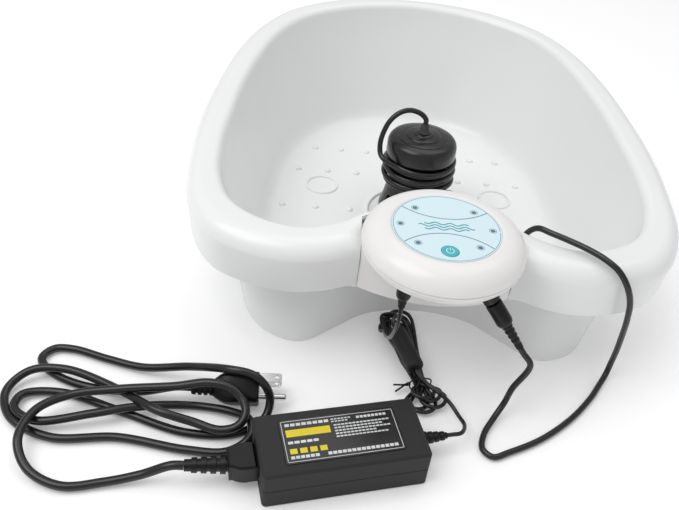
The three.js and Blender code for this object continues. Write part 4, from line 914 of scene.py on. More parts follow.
# ---------------------------------------------------------------- the control head
@dataclass
class ControlHead:
    """The round control head: cover, housing, printed label, button and indicator lenses."""

    y: float = -184.0
    radius: float = 56.5
    seam: float = 112.4
    top: float = 127.3
    under: float = 102.4
    inside: float = 54.3
    hanger_bottom: float = 66.5
    hanger_wall: float = 2.2
    pocket_half: float = 55.4
    pocket_front_side: float = -183.0
    pocket_front_mid: float = -197.0
    pocket_back_side: float = -153.5
    pocket_back_mid: float = -131.5
    label_radius: float = 37.2
    label_thick: float = 0.6
    window: float = 1.7
    key_radius: float = 5.75
    key_y: float = -26.5
    windows: tuple = ((20.5, 20), (-20.5, 20), (31.3, 0), (-31.3, 0), (20.5, -20), (-20.5, -20))

    def pocket(self, d: float) -> list[Vector]:
        """The outline of the head's pocket in plan, shrunk by d all round."""
        x, front = self.pocket_half - d, self.pocket_front_side + d
        side, mid = self.pocket_back_side - d, self.pocket_back_mid - d
        bow = 2 * (self.pocket_front_mid + d) - front
        made = []
        for k in range(25):
            t = k / 24
            made.append(Vector((x * (2 * t - 1), front * (1 - t) ** 2 + 2 * bow * t * (1 - t) + front * t * t, 0)))
        bend = [(x, side), (x * 0.72, side + (mid - side) * 0.55), (x * 0.45, mid), (0, mid)]
        right = []
        for k in range(17):
            t = k / 16
            weights = ((1 - t) ** 3, 3 * t * (1 - t) ** 2, 3 * t * t * (1 - t), t**3)
            right.append(Vector((sum(w * p[0] for w, p in zip(weights, bend)),
                                 sum(w * p[1] for w, p in zip(weights, bend)), 0)))
        return [*made, *right, *[Vector((-p.x, p.y, 0)) for p in right[-2::-1]]]

    def holes(self, bottom: float, top: float) -> list[bmesh.types.BMesh]:
        """Cutters for the six windows and the button."""
        made = [moved(cylinder(self.window, bottom, top, 24), shift(x, self.y + y)) for x, y in self.windows]
        return [*made, moved(cylinder(self.key_radius + 0.35, bottom, top, 64), shift(0, self.y + self.key_y))]

    def build_cover(self) -> None:
        """Builds the domed top cover."""
        shelf = self.top - self.label_thick - 0.1
        dome = [(42, self.top), (47, self.top - 1.2), (51.5, self.top - 3.8), (54.6, self.top - 7.2),
                (56.2, self.top - 11), (self.radius, self.seam + 0.9)]
        curve = [(p.x, p.y) for p in smooth_route(as_points(dome), 4)]
        lip = self.label_radius + 0.4
        profile = [
            (0, shelf), (lip, shelf), (lip, self.top - 0.1), (lip + 0.5, self.top + 0.2),
            (40, self.top + 0.15), *curve, (self.radius - 0.5, self.seam + 0.3),
            (self.inside, self.seam + 0.3), (54, self.seam + 3.4), (52, self.top - 8.6),
            (48.5, self.top - 5.4), (42, shelf - 2.1), (0, shelf - 2.1),
        ]
        cover = make_object("head_cover", moved(spun(profile, 144), shift(0, self.y)))
        carve(cover, self.holes(shelf - 8, self.top + 2))
        dress(cover, HEAD_WHITE, Body.TUB, ("head_top_cover",))

    def build_housing(self) -> None:
        """Builds the lower housing: the pan and the block that hangs in the tub's pocket."""
        r, seam, under = self.radius, self.seam, self.under
        outside = [
            (51, under + 1), (53.6, under + 3.6), (54.6, under + 7), (r - 0.4, seam - 2.2),
            (r - 0.2, seam - 0.5),
        ]
        curve = [(p.x, p.y) for p in smooth_route(as_points(outside), 4)]
        profile = [
            (0, under), (46, under), (49.5, under + 0.25), *curve, (r - 0.6, seam), (self.inside, seam),
            (52.4, under + 5.6), (50, under + 3.4), (45, under + 2.6), (0, under + 2.6),
        ]
        pan = make_object("head_housing", moved(spun(profile, 144), shift(0, self.y)))
        hanger = make_object("tool", prism(self.pocket(0.4), self.hanger_bottom, under + 1))
        round_edges(hanger, 1.6, 4, 60)
        combine(pan, [hanger], "UNION")
        room_foot = self.hanger_bottom + self.hanger_wall
        room = make_object("room", prism(self.pocket(0.4 + self.hanger_wall), room_foot, under + 4.6))
        carve(room, [moved(cylinder(44, under - 40, under + 4.6, 64), shift(0, self.y))], "INTERSECT")
        combine(pan, [room], "DIFFERENCE")
        dc = centre_of("dc_plug")
        cuts = [moved(cylinder(5.3, under - 20, under + 8, 48), shift(dc.x, dc.y))]
        cuts.append(moved(cylinder(6.3, -30, 20, 48), PLUGS.array_axis()))
        for i in (1, 2, 3):
            spot = centre_of(f"head_screw_{i}")
            cuts.append(moved(cylinder(3.1, self.hanger_bottom - 10, under + 2.2, 32), shift(spot.x, spot.y)))
            cuts.append(moved(cylinder(1.7, under - 1, under + 12, 24), shift(spot.x, spot.y)))
        carve(pan, cuts)
        dress(pan, HEAD_WHITE, Body.TUB, ("head_lower_housing",))

    def build_label(self) -> None:
        """Builds the label film, its printed arcs, dots' rims and the wave motif."""
        bottom = self.top - self.label_thick
        disc = cylinder(self.label_radius, bottom, self.top, 128)
        film = make_object("head_label_film", moved(disc, shift(0, self.y)))
        carve(film, self.holes(bottom - 1, self.top + 1))
        dress(film, LABEL_BLUE, Body.TUB, ("head_label",))
        place = shift(0, self.y)
        z = self.top + 0.01
        arcs = []
        for ends, middle in (((-29.5, 20.5), (0, 9.4)), ((-29.5, -20.0), (0, -7.4))):
            chord, sag = -ends[0], ends[1] - middle[1]
            radius = (chord**2 + sag**2) / (2 * abs(sag))
            half = math.degrees(math.asin(chord / radius))
            up = 1 if sag > 0 else -1
            line = arc(radius, 90 * -up - half, 90 * -up + half, 40, (0, middle[1] + up * radius))
            arcs.append(stroke(line, 0.7, z))
        arcs.append(stroke(arc(self.label_radius - 1.0, 0, 357.5, 120), 0.35, z))
        for x, y in self.windows:
            arcs.append(stroke(arc(2.5, 0, 357, 28, (x, y)), 0.35, z))
        marks = printed([moved(a, place) for a in arcs], "head_label_lines")
        dress(marks, LABEL_INK, Body.TUB)
        waves = []
        for row, reach in ((3.4, 15), (0.4, 19), (-2.6, 15)):
            spots = [reach * (k / 40 - 1) for k in range(81)]
            line = [Vector((x, row + 1.15 * math.sin(x * 0.62), 0)) for x in spots]
            waves.append(stroke(line, 1.1, z))
        motif = printed([moved(w, place) for w in waves], "head_label_waves")
        dress(motif, MOTIF_TEAL, Body.TUB)

    def build_button(self) -> None:
        """Builds the power button with its raised ring-and-bar mark."""
        r, top = self.key_radius, self.top
        profile = [
            (0, top - 9.4), (1.8, top - 9.4), (1.8, top - 5), (7.2, top - 5), (7.2, top - 3.1), (r, top - 3.1),
            (r, top), (r - 0.25, top + 0.3), (r - 0.8, top + 0.5), (r - 1.4, top + 0.48), (r - 3, top + 0.32),
            (0, top + 0.22),
        ]
        place = shift(0, self.y + self.key_y)
        key = make_object("power_key", moved(spun(profile, 96), place))
        dress(key, BUTTON_TEAL, Body.BUTTON, ("power_button",))
        z = top + 0.22
        ring = stroke(arc(2.5, 122, 418, 40), 0.55, z, 0.2)
        bar = prism(as_points([(-0.28, 0.6), (0.28, 0.6), (0.28, 3.3), (-0.28, 3.3)]), z, z + 0.24)
        dress(printed([moved(ring, place), moved(bar, place)], "power_key_mark"), BUTTON_MARK, Body.BUTTON)

    def build_lenses(self) -> None:
        """Builds the six domed indicator lenses over the light pipe's ends."""
        dome = [(0, 0.02), (1.55, 0.02), (1.45, 0.18), (1.05, 0.34), (0.5, 0.42), (0, 0.44)]
        lenses = [moved(spun(dome, 24), shift(x, self.y + y, self.top)) for x, y in self.windows]
        dress(printed(lenses, "indicator_lenses"), INDICATOR, Body.TUB)

    def build(self) -> None:
        """Builds the whole head."""
        self.build_cover()
        self.build_housing()
        self.build_label()
        self.build_button()
        self.build_lenses()


# ---------------------------------------------------------------- plugs and moulded ends
@dataclass
class Plugs:
    """The moulded plugs at the head, with their ribbed boots and metal barrels."""

    array_start: Point = (33.9, -217.9, 93.5)
    array_way: Point = (0.6, -0.25, -0.76)

    def array_axis(self) -> Matrix:
        """Places something made along +Z on the array plug's axis."""
        turn = Vector((0, 0, 1)).rotation_difference(Vector(self.array_way).normalized())
        return Matrix.Translation(Vector(self.array_start) * MM) @ turn.to_matrix().to_4x4()

    def profile(self, r: float, length: float, boot: float, cord: float, ribs: int) -> Profile:
        """The section of a moulded plug with a ribbed boot, along +Z."""
        points = [(0, 0), (r - 1.0, 0), (r - 0.3, 0.3), (r, 1.0), (r, length - 3.4), (r * 0.985, length - 2.4),
                  (r * 0.9, length - 1.0), (r * 0.74, length)]
        step = boot / ribs
        for i in range(ribs):
            z, taper = length + i * step, 1 - 0.36 * i / ribs
            rib, neck = r * 0.66 * taper, max(cord / 2 + 0.35, r * 0.5 * taper)
            points += [(rib - 0.25, z + step * 0.06), (rib, z + step * 0.14), (rib, z + step * 0.52),
                       (rib - 0.25, z + step * 0.6), (neck, z + step * 0.66), (neck, z + step)]
        return [*points, (0, length + boot)]

    def build(self) -> None:
        """Builds both plugs over their CAD solids."""
        low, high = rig.box("dc_plug")
        centre = (low + high) / 2
        down = Matrix.Translation(Vector((centre.x, centre.y, high.z))) @ Matrix.Rotation(math.pi, 4, "X")
        body = make_object("dc_plug_body", moved(spun(self.profile(5, 8, 9, 3, 3), 64), down))
        dress(body, PLUG_BLACK, Body.DC_PLUG, ("dc_plug",))
        angled = make_object("array_plug_body", moved(spun(self.profile(5.8, 19, 20, 4.5, 5), 64), self.array_axis()))
        dress(angled, PLUG_BLACK, Body.TUB, ("array_plug",))


# ---------------------------------------------------------------- the water array
@dataclass
class WaterArray:
    """The upright array: base plate, slotted housing, stepped cap and cable gland."""

    foot: float = 11.7
    plate: float = 3.4
    base: float = 31.5
    foot_top: float = 22.0
    waist: float = 25.5
    waist_from: float = 47.0
    waist_to: float = 78.0
    bore: float = 21.0
    cap: float = 31.0
    cap_top: float = 95.0
    slots: int = 6

    def build(self) -> None:
        """Builds the array's outer pieces."""
        spot = centre_of("array_cap")
        place = shift(spot.x, spot.y)
        top = self.foot + self.plate
        disc = [
            (0, self.foot), (self.base - 1.5, self.foot), (self.base, self.foot + 1.5), (self.base, top),
            (0, top),
        ]
        plate = make_object("array_foot_plate", spun(disc, 96))
        turns = [Matrix.Rotation(math.pi * i / 3, 4, "Z") for i in range(6)]
        carve(plate, [moved(cylinder(4, 5, 20, 24), turn @ shift(17, 0)) for turn in turns])
        plate.data.transform(place)
        dress(plate, ARRAY_BLACK, Body.ARRAY, ("array_base_plate",))
        shell = [
            (self.bore, top + 0.3), (self.base, top + 0.3), (self.base, self.foot_top),
            (self.base - 0.5, self.foot_top + 2.8), (self.base - 1.6, self.foot_top + 5),
            (self.waist + 1.2, self.waist_from - 4), (self.waist, self.waist_from),
            (self.waist, self.waist_to - 0.3), (self.bore, self.waist_to - 0.3), (self.bore, top + 0.3),
        ]
        housing = make_object("array_shell", spun(shell, 96))
        cutters = []
        for i in range(self.slots):
            slab = prism(rounded_box(18, 7, 2.9), self.bore - 4, self.base + 4)
            slot = moved(slab, Matrix.Rotation(math.pi / 2, 4, "Y"))
            turn = Matrix.Rotation(2 * math.pi * (i + 0.5) / self.slots, 4, "Z")
            cutters.append(moved(slot, turn @ shift(0, 0, 30)))
        carve(housing, cutters)
        housing.data.transform(place)
        round_edges(housing, 0.5, 2)
        dress(housing, ARRAY_BLACK, Body.ARRAY, ("array_housing",))
        t, w = self.cap_top, self.waist_to
        steps = [
            (3.6, t + 4), (8.2, t + 3.85), (8.9, t + 3.4), (9.2, t + 2.8), (14.6, t + 2.5), (15.4, t + 2.1),
            (15.8, t + 1.3), (21.6, t + 0.9), (22.4, t + 0.6), (22.8, t - 0.1), (26.6, t - 0.7),
            (28.6, t - 1.8), (30.0, t - 3.6), (30.8, t - 6), (self.cap, t - 8.6), (self.cap, w + 1.4),
            (self.cap - 0.3, w + 0.6), (self.cap - 1, w + 0.3), (self.bore - 0.3, w + 0.3),
            (self.bore - 0.3, w - 8), (self.bore - 3, w - 8), (self.bore - 3, w + 6), (28, w + 9),
            (26, t - 4), (3.6, t - 2), (3.6, t + 4),
        ]
        dress(make_object("array_top", moved(spun(steps, 128), place)), ARRAY_BLACK, Body.ARRAY, ("array_cap",))
        gland = [
            (0, t - 5), (3.2, t - 5), (3.2, t + 4.3), (5.2, t + 4.3), (5.4, t + 4.7), (4.2, t + 6.6),
            (3.5, t + 9), (2.95, t + 12.2), (2.7, t + 12.5), (0, t + 12.5),
        ]
        dress(make_object("array_grommet", moved(spun(gland, 48), place)), RUBBER, Body.ARRAY, ("array_gland",))


# ---------------------------------------------------------------- the power supply
@dataclass
class PowerSupply:
    """The power supply: case halves, printed label, strain relief and its mains connector."""

    length: float = 109.0
    height: float = 30.0
    turn: float = 14.5
    spot: tuple = (-59.7, -286.3)
    inlet_height: float = 15.0
    label: tuple = (77.4, 34.3)

    def place(self) -> Matrix:
        """Places something made in the supply's own frame."""
        return shift(*self.spot) @ Matrix.Rotation(math.radians(self.turn), 4, "Z")

    def marks(self) -> tuple[list[bmesh.types.BMesh], list[bmesh.types.BMesh]]:
        """The label's generic marks: white bars and frames, and yellow blocks."""
        z = self.height + 0.31

        def bar(x: float, y: float, w: float, h: float) -> bmesh.types.BMesh:
            """A printed bar from its left edge x and lower edge y."""
            return prism(as_points([(x, y), (x + w, y), (x + w, y + h), (x, y + h)]), z, z + 0.05)

        half_x, half_y = self.label[0] / 2, self.label[1] / 2
        x0, y0 = -half_x + 1.2, -half_y + 1.2
        wide, tall = self.label[0] - 2.4, self.label[1] - 2.4
        white = [bar(x0, y0, wide, 0.4), bar(x0, y0 + tall - 0.4, wide, 0.4), bar(x0, y0, 0.4, tall),
                 bar(x0 + wide - 0.4, y0, 0.4, tall)]
        white += [bar(x0 + 2.4 + 3.7 * k, half_y - 5.6, 2.9, 2.2) for k in range(8)]
        white += [bar(x0 + 33 + 2.3 * k, half_y - 4.3, 1.7, 0.9) for k in range(6)]
        white += [bar(x0 + 33 + 2.3 * k, half_y - 6.2, 1.7, 0.9) for k in range(5)]
        white += [bar(x0 + 50 + 2.6 * k, half_y - 5.4, 2.0, 1.9) for k in range(8)]
        for row in range(5):
            y = half_y - 9.3 - 2.3 * row
            reach = (15, 13, 15, 11, 14)[row]
            white += [bar(x0 + 34 + 2.5 * k, y, 2.0, 1.1) for k in range(reach)]
        white += [bar(x0 + 2.4 + 4.1 * k, half_y - 19.4, 3.3, 2.0) for k in range(5)]
        white += [bar(x0 + 26 + 3.1 * k, y0 + 2.2, 2.5, 2.2) for k in range(15)]
        white += [bar(x0 + 2.4 + 3.1 * k, y0 + 2.2, 2.5, 2.2) for k in range(6)]
        yellow = [bar(x0 + 2.2, half_y - 14.0, 29, 5.6)]
        yellow += [bar(x0 + 2.6 + 6.4 * k, y0 + 6.0, 4.6, 3.9) for k in range(4)]
        return white, yellow

    def build(self) -> None:
        """Builds the supply and its moulded ends."""
        lower = refined("adapter_lower_case", "supply_lower_shell", 0.7, 3)
        dress(lower, CASE_BLACK, Body.TUB, ("adapter_lower_case",))
        upper = refined("adapter_upper_case", "supply_upper_shell", 0.6, 3)
        dress(upper, CASE_BLACK, Body.TUB, ("adapter_upper_case",))
        film = make_object("supply_label_film", moved(prism(rounded_box(*self.label, 1.2), self.height - 0.04,
                                                            self.height + 0.31), self.place()))
        dress(film, LABEL_BLACK, Body.TUB, ("adapter_label",))
        white, yellow = self.marks()
        dress(printed([moved(m, self.place()) for m in white], "supply_label_bars"), PRINT_WHITE, Body.TUB)
        dress(printed([moved(m, self.place()) for m in yellow], "supply_label_blocks"), PRINT_YELLOW, Body.TUB)
        relief = [(0, -4), (4.6, -4), (4.6, -2.3), (3.1, -2.3), (3.1, 0.3), (4.4, 0.3), (4.6, 0.5), (4.6, 2)]
        for i in range(4):
            r, z = 4.5 - 0.45 * i, 4.2 * i
            relief += [
                (r - 0.2, z + 2.4), (r, z + 2.7), (r, z + 5.1), (r - 0.2, z + 5.4), (r - 1.1, z + 5.6),
                (r - 1.1, z + 6.5),
            ]
        relief += [(2.3, 19.4), (2.1, 20), (0, 20)]
        at_end = self.place() @ shift(self.length / 2, 0, self.inlet_height) @ Matrix.Rotation(math.pi / 2, 4, "Y")
        dress(make_object("supply_strain_relief", moved(spun(relief, 48), at_end)), PLUG_BLACK, Body.TUB,
              ("adapter_strain_relief",))
        connector = refined("mains_connector", "mains_connector_body", 0.6, 3)
        dress(connector, PLUG_BLACK, Body.CONNECTOR, ("mains_connector",))


# ---------------------------------------------------------------- the wall plug
@dataclass
class WallPlug:
    """The moulded wall plug with its ribbed boot, two flat blades and a round earth pin."""

    spot: Point = (-118.0, -231.6, 15.4)
    turn: float = 3.0
    roll: float = 27.0
    length: float = 32.0
    boot: float = 15.0
    boot_radius: float = 5.4
    back: float = 3.8
    front: float = 18.0
    half_at_blades: float = 12.5
    half_at_pin: float = 8.5
    blade_gap: float = 6.35
    pin_offset: float = 11.9

    def place(self) -> Matrix:
        """Places something made in the plug's own frame."""
        turn = Matrix.Rotation(math.radians(self.turn), 4, "Z")
        return shift(*self.spot) @ turn @ Matrix.Rotation(math.radians(self.roll), 4, "X")

    def section(self, x: float, back: float, front: float, half: tuple[float, float], power: float) -> list[Vector]:
        """A section across the plug: squarish where power is low, round where it is 1."""
        made = []
        for i in range(64):
            turn = 2 * math.pi * (i + 0.5) / 64
            s, c = math.sin(turn), math.cos(turn)
            across = 0.5 + 0.5 * math.copysign(abs(s) ** power, s)
            reach = half[0] + (half[1] - half[0]) * across
            made.append(Vector((x, back + (front - back) * across, reach * math.copysign(abs(c) ** power, c))))
        return made

    def build(self) -> None:
        """Builds the body, the blades and the pin."""
        axis = (self.back - self.front) / 2
        length = self.length

        def full(x: float, shrink: float, power: float) -> list[Vector]:
            """A section of the body."""
            half = (self.half_at_blades - shrink, self.half_at_pin - shrink)
            return self.section(x, self.back - shrink, shrink - self.front, half, power)

        def neck(x: float, r: float) -> list[Vector]:
            """A round section of the boot."""
            return self.section(x, axis + r, axis - r, (r, r), 1)

        rings = [full(0, 1.0, 0.45), full(-0.25, 0.4, 0.42), full(-1, 0, 0.4), full(-length * 0.35, 0, 0.42),
                 full(-length * 0.62, 0.1, 0.46), full(-length * 0.74, 0.7, 0.5), full(-length * 0.84, 1.9, 0.58),
                 full(-length * 0.93, 3.6, 0.75), full(-length, 5.2, 0.92), neck(-length - 0.6, self.boot_radius)]
        for i in range(3):
            x = -length - 2.4 - 4 * i
            r = self.boot_radius - 0.12 * i
            rings += [neck(x + 0.1, r), neck(x - 0.1, r - 1.2), neck(x - 1.3, r - 1.2), neck(x - 1.5, r)]
        rings.append(neck(-length - self.boot + 0.5, self.boot_radius - 0.4))
        rings.append(neck(-length - self.boot, self.boot_radius - 0.9))
        body = make_object("wall_plug_body", moved(lofted(rings), self.place()))
        rooms = []
        for k in (-1, 1):
            room = prism(rounded_box(9, 7.0, 0.3, 2), -1.05, 1.05)
            rooms.append(moved(room, self.place() @ shift(-4.4, 0, k * self.blade_gap)))
        pin = moved(cylinder(2.7, 0, 9, 32), Matrix.Rotation(-math.pi / 2, 4, "Y"))
        rooms.append(moved(pin, self.place() @ shift(0.1, -self.pin_offset)))
        carve(body, rooms)
        dress(body, PLUG_BLACK, Body.TUB, ("wall_plug",), sharp=30)
        for i in (1, 2):
            blade = refined(f"plug_blade_{i}", f"wall_plug_blade_{i}", 0.22, 2)
            dress(blade, METAL, Body.TUB, (f"plug_blade_{i}",))
        tip = [(0, -8), (2.4, -8), (2.4, 17.4), (2.25, 18.3), (1.8, 19.1), (1.1, 19.5), (0, 19.6)]
        pin = moved(spun(tip, 48), Matrix.Rotation(math.pi / 2, 4, "Y"))
        earth_pin = make_object("wall_plug_earth_pin", moved(pin, self.place() @ shift(0, -self.pin_offset)))
        dress(earth_pin, METAL, Body.TUB, ("plug_earth_pin",))


# ---------------------------------------------------------------- the leads
@dataclass
class Leads:
    """The mains lead, the array's cable and the low-voltage lead, each one free cord."""

    mains: float = 6.0
    array: float = 4.5
    low: float = 3.0
    wraps: float = 5.31  # turns round the array's waist
    wrap_radius: float = 30.4
    hank_from: tuple = (-18.0, -152.0)
    hank_to: tuple = (2.0, -226.0)

    def lay_mains(self) -> None:
        """Lays the mains lead in its loose loops, from the connector to the wall plug."""
        route = as_points([
            (-157.5, -307.5, 15), (-165.2, -308.3, 15), (-184, -311, 7), (-206, -316, 3.6), (-232, -321, 3.4),
            (-255, -312, 6), (-266, -294, 12), (-262, -271, 13), (-244, -257, 13.5), (-212, -251, 16.5),
            (-174, -248, 20.5), (-152, -247, 25.5), (-137, -249, 25), (-128, -254.5, 21), (-124, -263, 16.5),
            (-128, -271, 12.5), (-140, -274, 10), (-159, -270, 11.5), (-183, -266, 15.5), (-214, -246, 10),
            (-256, -231, 10), (-280, -234, 8.5), (-291, -250, 4.4), (-281, -271, 3.2), (-250, -285, 3.2),
            (-207, -281, 3.2), (-160, -287, 3.4), (-133, -287, 5), (-120, -278, 9), (-121, -264, 10),
            (-134, -255, 6.5), (-157, -250, 4), (-181, -253, 6), (-204, -261, 9.8), (-226, -268, 9.6),
            (-262, -275, 6.5), (-280, -265, 5.5), (-279, -252, 4.5), (-254, -247, 3.5), (-211, -259, 3.2),
            (-162, -273, 3.2), (-128, -270, 3.4), (-112, -258, 5.5), (-109, -248, 14), (-113, -244, 23.5),
            (-122, -240.5, 29.5), (-138, -238, 30.5), (-169, -224, 15), (-204, -219, 5), (-232, -212, 3.4),
            (-258, -205, 3.3), (-272, -206, 3.2), (-278, -216, 3.2), (-268, -228, 3.2), (-242, -239, 3.4),
            (-203, -242, 4.8), (-174.6, -240.9, 12.2), (-164.9, -240.4, 12.2),
        ])
        line = evenly(smooth_route(route, 16), 1.6)
        lead = tube_mesh("mains_lead", line, self.mains, 5)
        dress(lead, CORD_BLACK, Body.TUB, ("mains_cord",))
        self.bend(lead, Body.CONNECTOR, (0, -292, 0), (0, -309, 0))
        ends = [
            "wall_plug_body", "wall_plug_blade_1", "wall_plug_blade_2", "wall_plug_earth_pin",
            "mains_connector_body",
        ]
        self.declare(lead, line, self.mains, "plug", "medium", "loose", ends)

    def lay_array_cable(self) -> None:
        """Lays the array's cable: loop, turns round the waist, and the run over the rim to the plug."""
        loop = [
            (0, -3, 107.9), (0, -3, 111.4), (-4.5, -2, 116), (-14, -1.4, 118.6), (-23, -3, 116.6),
            (-31, -6, 110), (-36, -9.5, 100), (-38, -13, 90), (-37, -18, 82.5), (-33.4, -22.6, 79.6),
        ]
        centre = centre_of("array_cord_wraps")
        start = math.radians(-128)
        sweep = 2 * math.pi * self.wraps - math.radians(40)
        count = int(self.wraps * 16)
        turns = []
        for k in range(count + 1):
            t = k / count
            angle = start + sweep * t
            number = sweep * t / (2 * math.pi)
            r = self.wrap_radius + 1.2 * math.cos(math.pi * number) + 0.5 * math.sin(3.1 * angle)
            z = 75.2 - 22.0 * t + 0.45 * math.sin(1.7 * angle)
            turns.append((centre.x + r * math.cos(angle), centre.y + r * math.sin(angle), z))
        run = [
            (31.5, -27, 53.5), (40, -34, 48), (50, -44, 36), (58, -58, 22), (62, -76, 15), (63, -98, 14.6),
            (63, -114, 17), (63, -126, 34), (63.5, -134, 58), (65, -141, 84), (67, -147.5, 103),
            (71.5, -154, 112), (79, -161, 113.6), (90, -168, 113.6), (101, -176, 113.6), (112, -186, 113),
            (120.5, -193.6, 109.6), (127.5, -198.6, 101), (133.5, -199.2, 88), (138, -196.8, 70),
            (142, -192, 50), (145, -188, 30), (146, -186, 16), (143.5, -190, 6.5), (137, -199, 2.7),
            (127, -213, 2.5), (107, -235, 2.5), (82, -255, 2.5), (58, -268, 2.5), (46, -273, 2.5),
            (39.5, -267, 2.5), (42, -254, 2.7), (50, -241, 5), (57, -233, 13), (60, -231, 26),
            (66.9, -231.6, 51.7), (60.9, -229.1, 59.3), (57.5, -227.7, 63.6),
        ]
        line = evenly(smooth_route(as_points([*loop, *turns, *run]), 10), 1.3)
        cable = tube_mesh("array_cable", line, self.array, 4)
        dress(cable, CORD_BLACK, Body.TUB, ("array_cord_loop", "array_cord_wraps", "array_cord_run"))
        self.bend(cable, Body.ARRAY, (0, -115, 0), (0, -40, 0))
        ends = ["array_plug_body", "array_plug_barrel", "array_grommet"]
        self.declare(cable, line, self.array, "plug", "medium", "coiled", ends)

    def hank_point(self, s: float, w: float, z: float) -> Vector:
        """A point of the hank: s along it from its far end, w to its right, z above the ground."""
        start, end = Vector(self.hank_from), Vector(self.hank_to)
        along = (end - start).normalized()
        spot = start + along * s + Vector((-along.y, along.x)) * w
        return Vector((spot.x, spot.y, z))

    def lay_low_lead(self) -> None:
        """Lays the low-voltage lead: drop, folded hank, sleeve and tail to the supply."""
        drop = [(-26.5, -221.5, 84.8), (-26.5, -221.5, 77.1), (-26.8, -219, 66), (-27.4, -208, 46), (-28, -192, 29),
                (-28.4, -178, 19), (-27.8, -168, 12.5)]
        length = (Vector(self.hank_to) - Vector(self.hank_from)).length
        waist = length * 0.84
        levels = (6.9, 3.7, 2.1, 5.3, 8.4)
        far = ((-3, -5, 9.5), (-12, 3, 9), (-5, 0, 8.6), (-15, 5.5, 9.5), (-7, -2, 8.6))
        near = ((6, 3, 8.6), (13, -3, 9.4), (8, -6, 8.6), (11, 5, 9.4), (4, -1, 8.2))
        spread = (-4.4, 1.5, -1.5, 4.4, 0.0)
        folds = []
        for z, (tip, shift_w, r), (end, near_w, near_r), column in zip(levels, far, near, spread):
            for a in (180, 140, 90, 40, 0):
                t = math.radians(a)
                folds.append(self.hank_point(tip + r - r * math.sin(t), shift_w + r * math.cos(t), z))
            folds.append(self.hank_point(waist * 0.55, shift_w * 0.4 + 5.5, z))
            folds.append(self.hank_point(waist, column * 0.6 + 1.6, 2.6 + 0.62 * z))
            for a in (0, 45, 90, 135, 180):
                t = math.radians(a)
                folds.append(self.hank_point(length + end - near_r + near_r * math.sin(t),
                                             near_w + near_r * math.cos(t), z))
            folds.append(self.hank_point(waist, column * 0.6 - 1.6, 2.6 + 0.62 * z))
            folds.append(self.hank_point(waist * 0.55, shift_w * 0.4 - 5.5, z))
        tail = [
            (-18, -147, 11.5), (-20.5, -155, 13.4), (-21.6, -163.3, 16.7), (-19, -171, 16.7),
            (-5.8, -209.5, 16.7), (-4.2, -214.1, 16.7), (3, -222, 13.5), (11, -228.5, 12.8),
            (18.5, -234, 9.5), (24, -243, 7.5), (27, -253, 9.5), (22.1, -265.1, 15), (16.3, -266.7, 15),
            (12.7, -267.6, 15),
        ]
        turn_back = [self.hank_point(4, -12, 9.2), self.hank_point(-7, -9, 10.2)]
        line = evenly(smooth_route([*as_points(drop), *folds, *turn_back, *as_points(tail)], 8), 1.0)
        lead = tube_mesh("low_voltage_lead", line, self.low, 3)
        dress(lead, CORD_BLACK, Body.TUB, ("dc_cord_drop", "dc_cord_hank", "dc_cord_tail"))
        self.bend(lead, Body.DC_PLUG, (0, 0, 35), (0, 0, 80))
        sleeve = self.build_sleeve()
        tie = self.build_tie(waist)
        pieces = [sleeve.name, tie.name, "dc_plug_body", "dc_plug_barrel"]
        self.declare(lead, line, self.low, "object", "limp", "coiled", pieces)

    def build_sleeve(self) -> bpy.types.Object:
        """Builds the ferrite sleeve round the low-voltage lead."""
        start, end = Vector((-19, -171, 16.7)), Vector((-5.8, -209.5, 16.7))
        length, r, bore = (end - start).length, 6.7, 1.9
        rounding = 2.4
        turns = [math.radians(15 * k) for k in range(7)]
        corner = [(r - rounding + rounding * math.sin(t), rounding - rounding * math.cos(t)) for t in turns]
        profile = [(bore, 0), *corner, *[(x, length - z) for x, z in corner[::-1]], (bore, length), (bore, 0)]
        turn = Vector((0, 0, 1)).rotation_difference(end - start).to_matrix().to_4x4()
        made = make_object("ferrite_sleeve_shell", moved(spun(profile, 64), Matrix.Translation(start * MM) @ turn))
        return dress(made, SLEEVE_GREY, Body.TUB, ("ferrite_sleeve",))

    def build_tie(self, waist: float) -> bpy.types.Object:
        """Builds the twisted wire tie: a band round the waist and its two twisted ends."""
        band = []
        for k in range(33):
            t = 2 * math.pi * k / 32
            w = 8.3 * math.copysign(abs(math.cos(t)) ** 0.7, math.cos(t))
            z = 5.9 + 5.3 * math.copysign(abs(math.sin(t)) ** 0.7, math.sin(t))
            band.append(self.hank_point(waist + 0.5 * math.sin(2 * t), w, z))
        loop = tube_mesh("tie_band", band, 1.1, 2)
        twisted = []
        for side in (-1, 1):
            line = []
            for k in range(25):
                t = k / 24
                turn = side * math.pi / 2 + 7 * min(t, 0.5)
                spread = side * max(0.0, t - 0.5) * 5
                line.append(self.hank_point(waist + spread + 0.75 * math.cos(turn), -8.0 - 12 * t,
                                            7.5 + 0.75 * math.sin(turn) - 3.0 * t))
            twisted.append(tube_mesh(f"tie_end_{side}", line, 1.4, 2))
        whole = bmesh.new()
        for piece in (loop, *twisted):
            whole.from_mesh(piece.data)
            bpy.data.objects.remove(piece)
        return dress(make_object("hank_twist_tie", whole), PLUG_BLACK, Body.TUB, ("hank_tie",))

    def bend(self, lead: bpy.types.Object, moving: Body, start: Point, end: Point) -> None:
        """Lets a lead bend between the tub and a moving body, between two points in millimetres."""
        lead.parent = None
        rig.blend(lead, Body.TUB.value, moving.value, start=Vector(start) * MM, end=Vector(end) * MM)

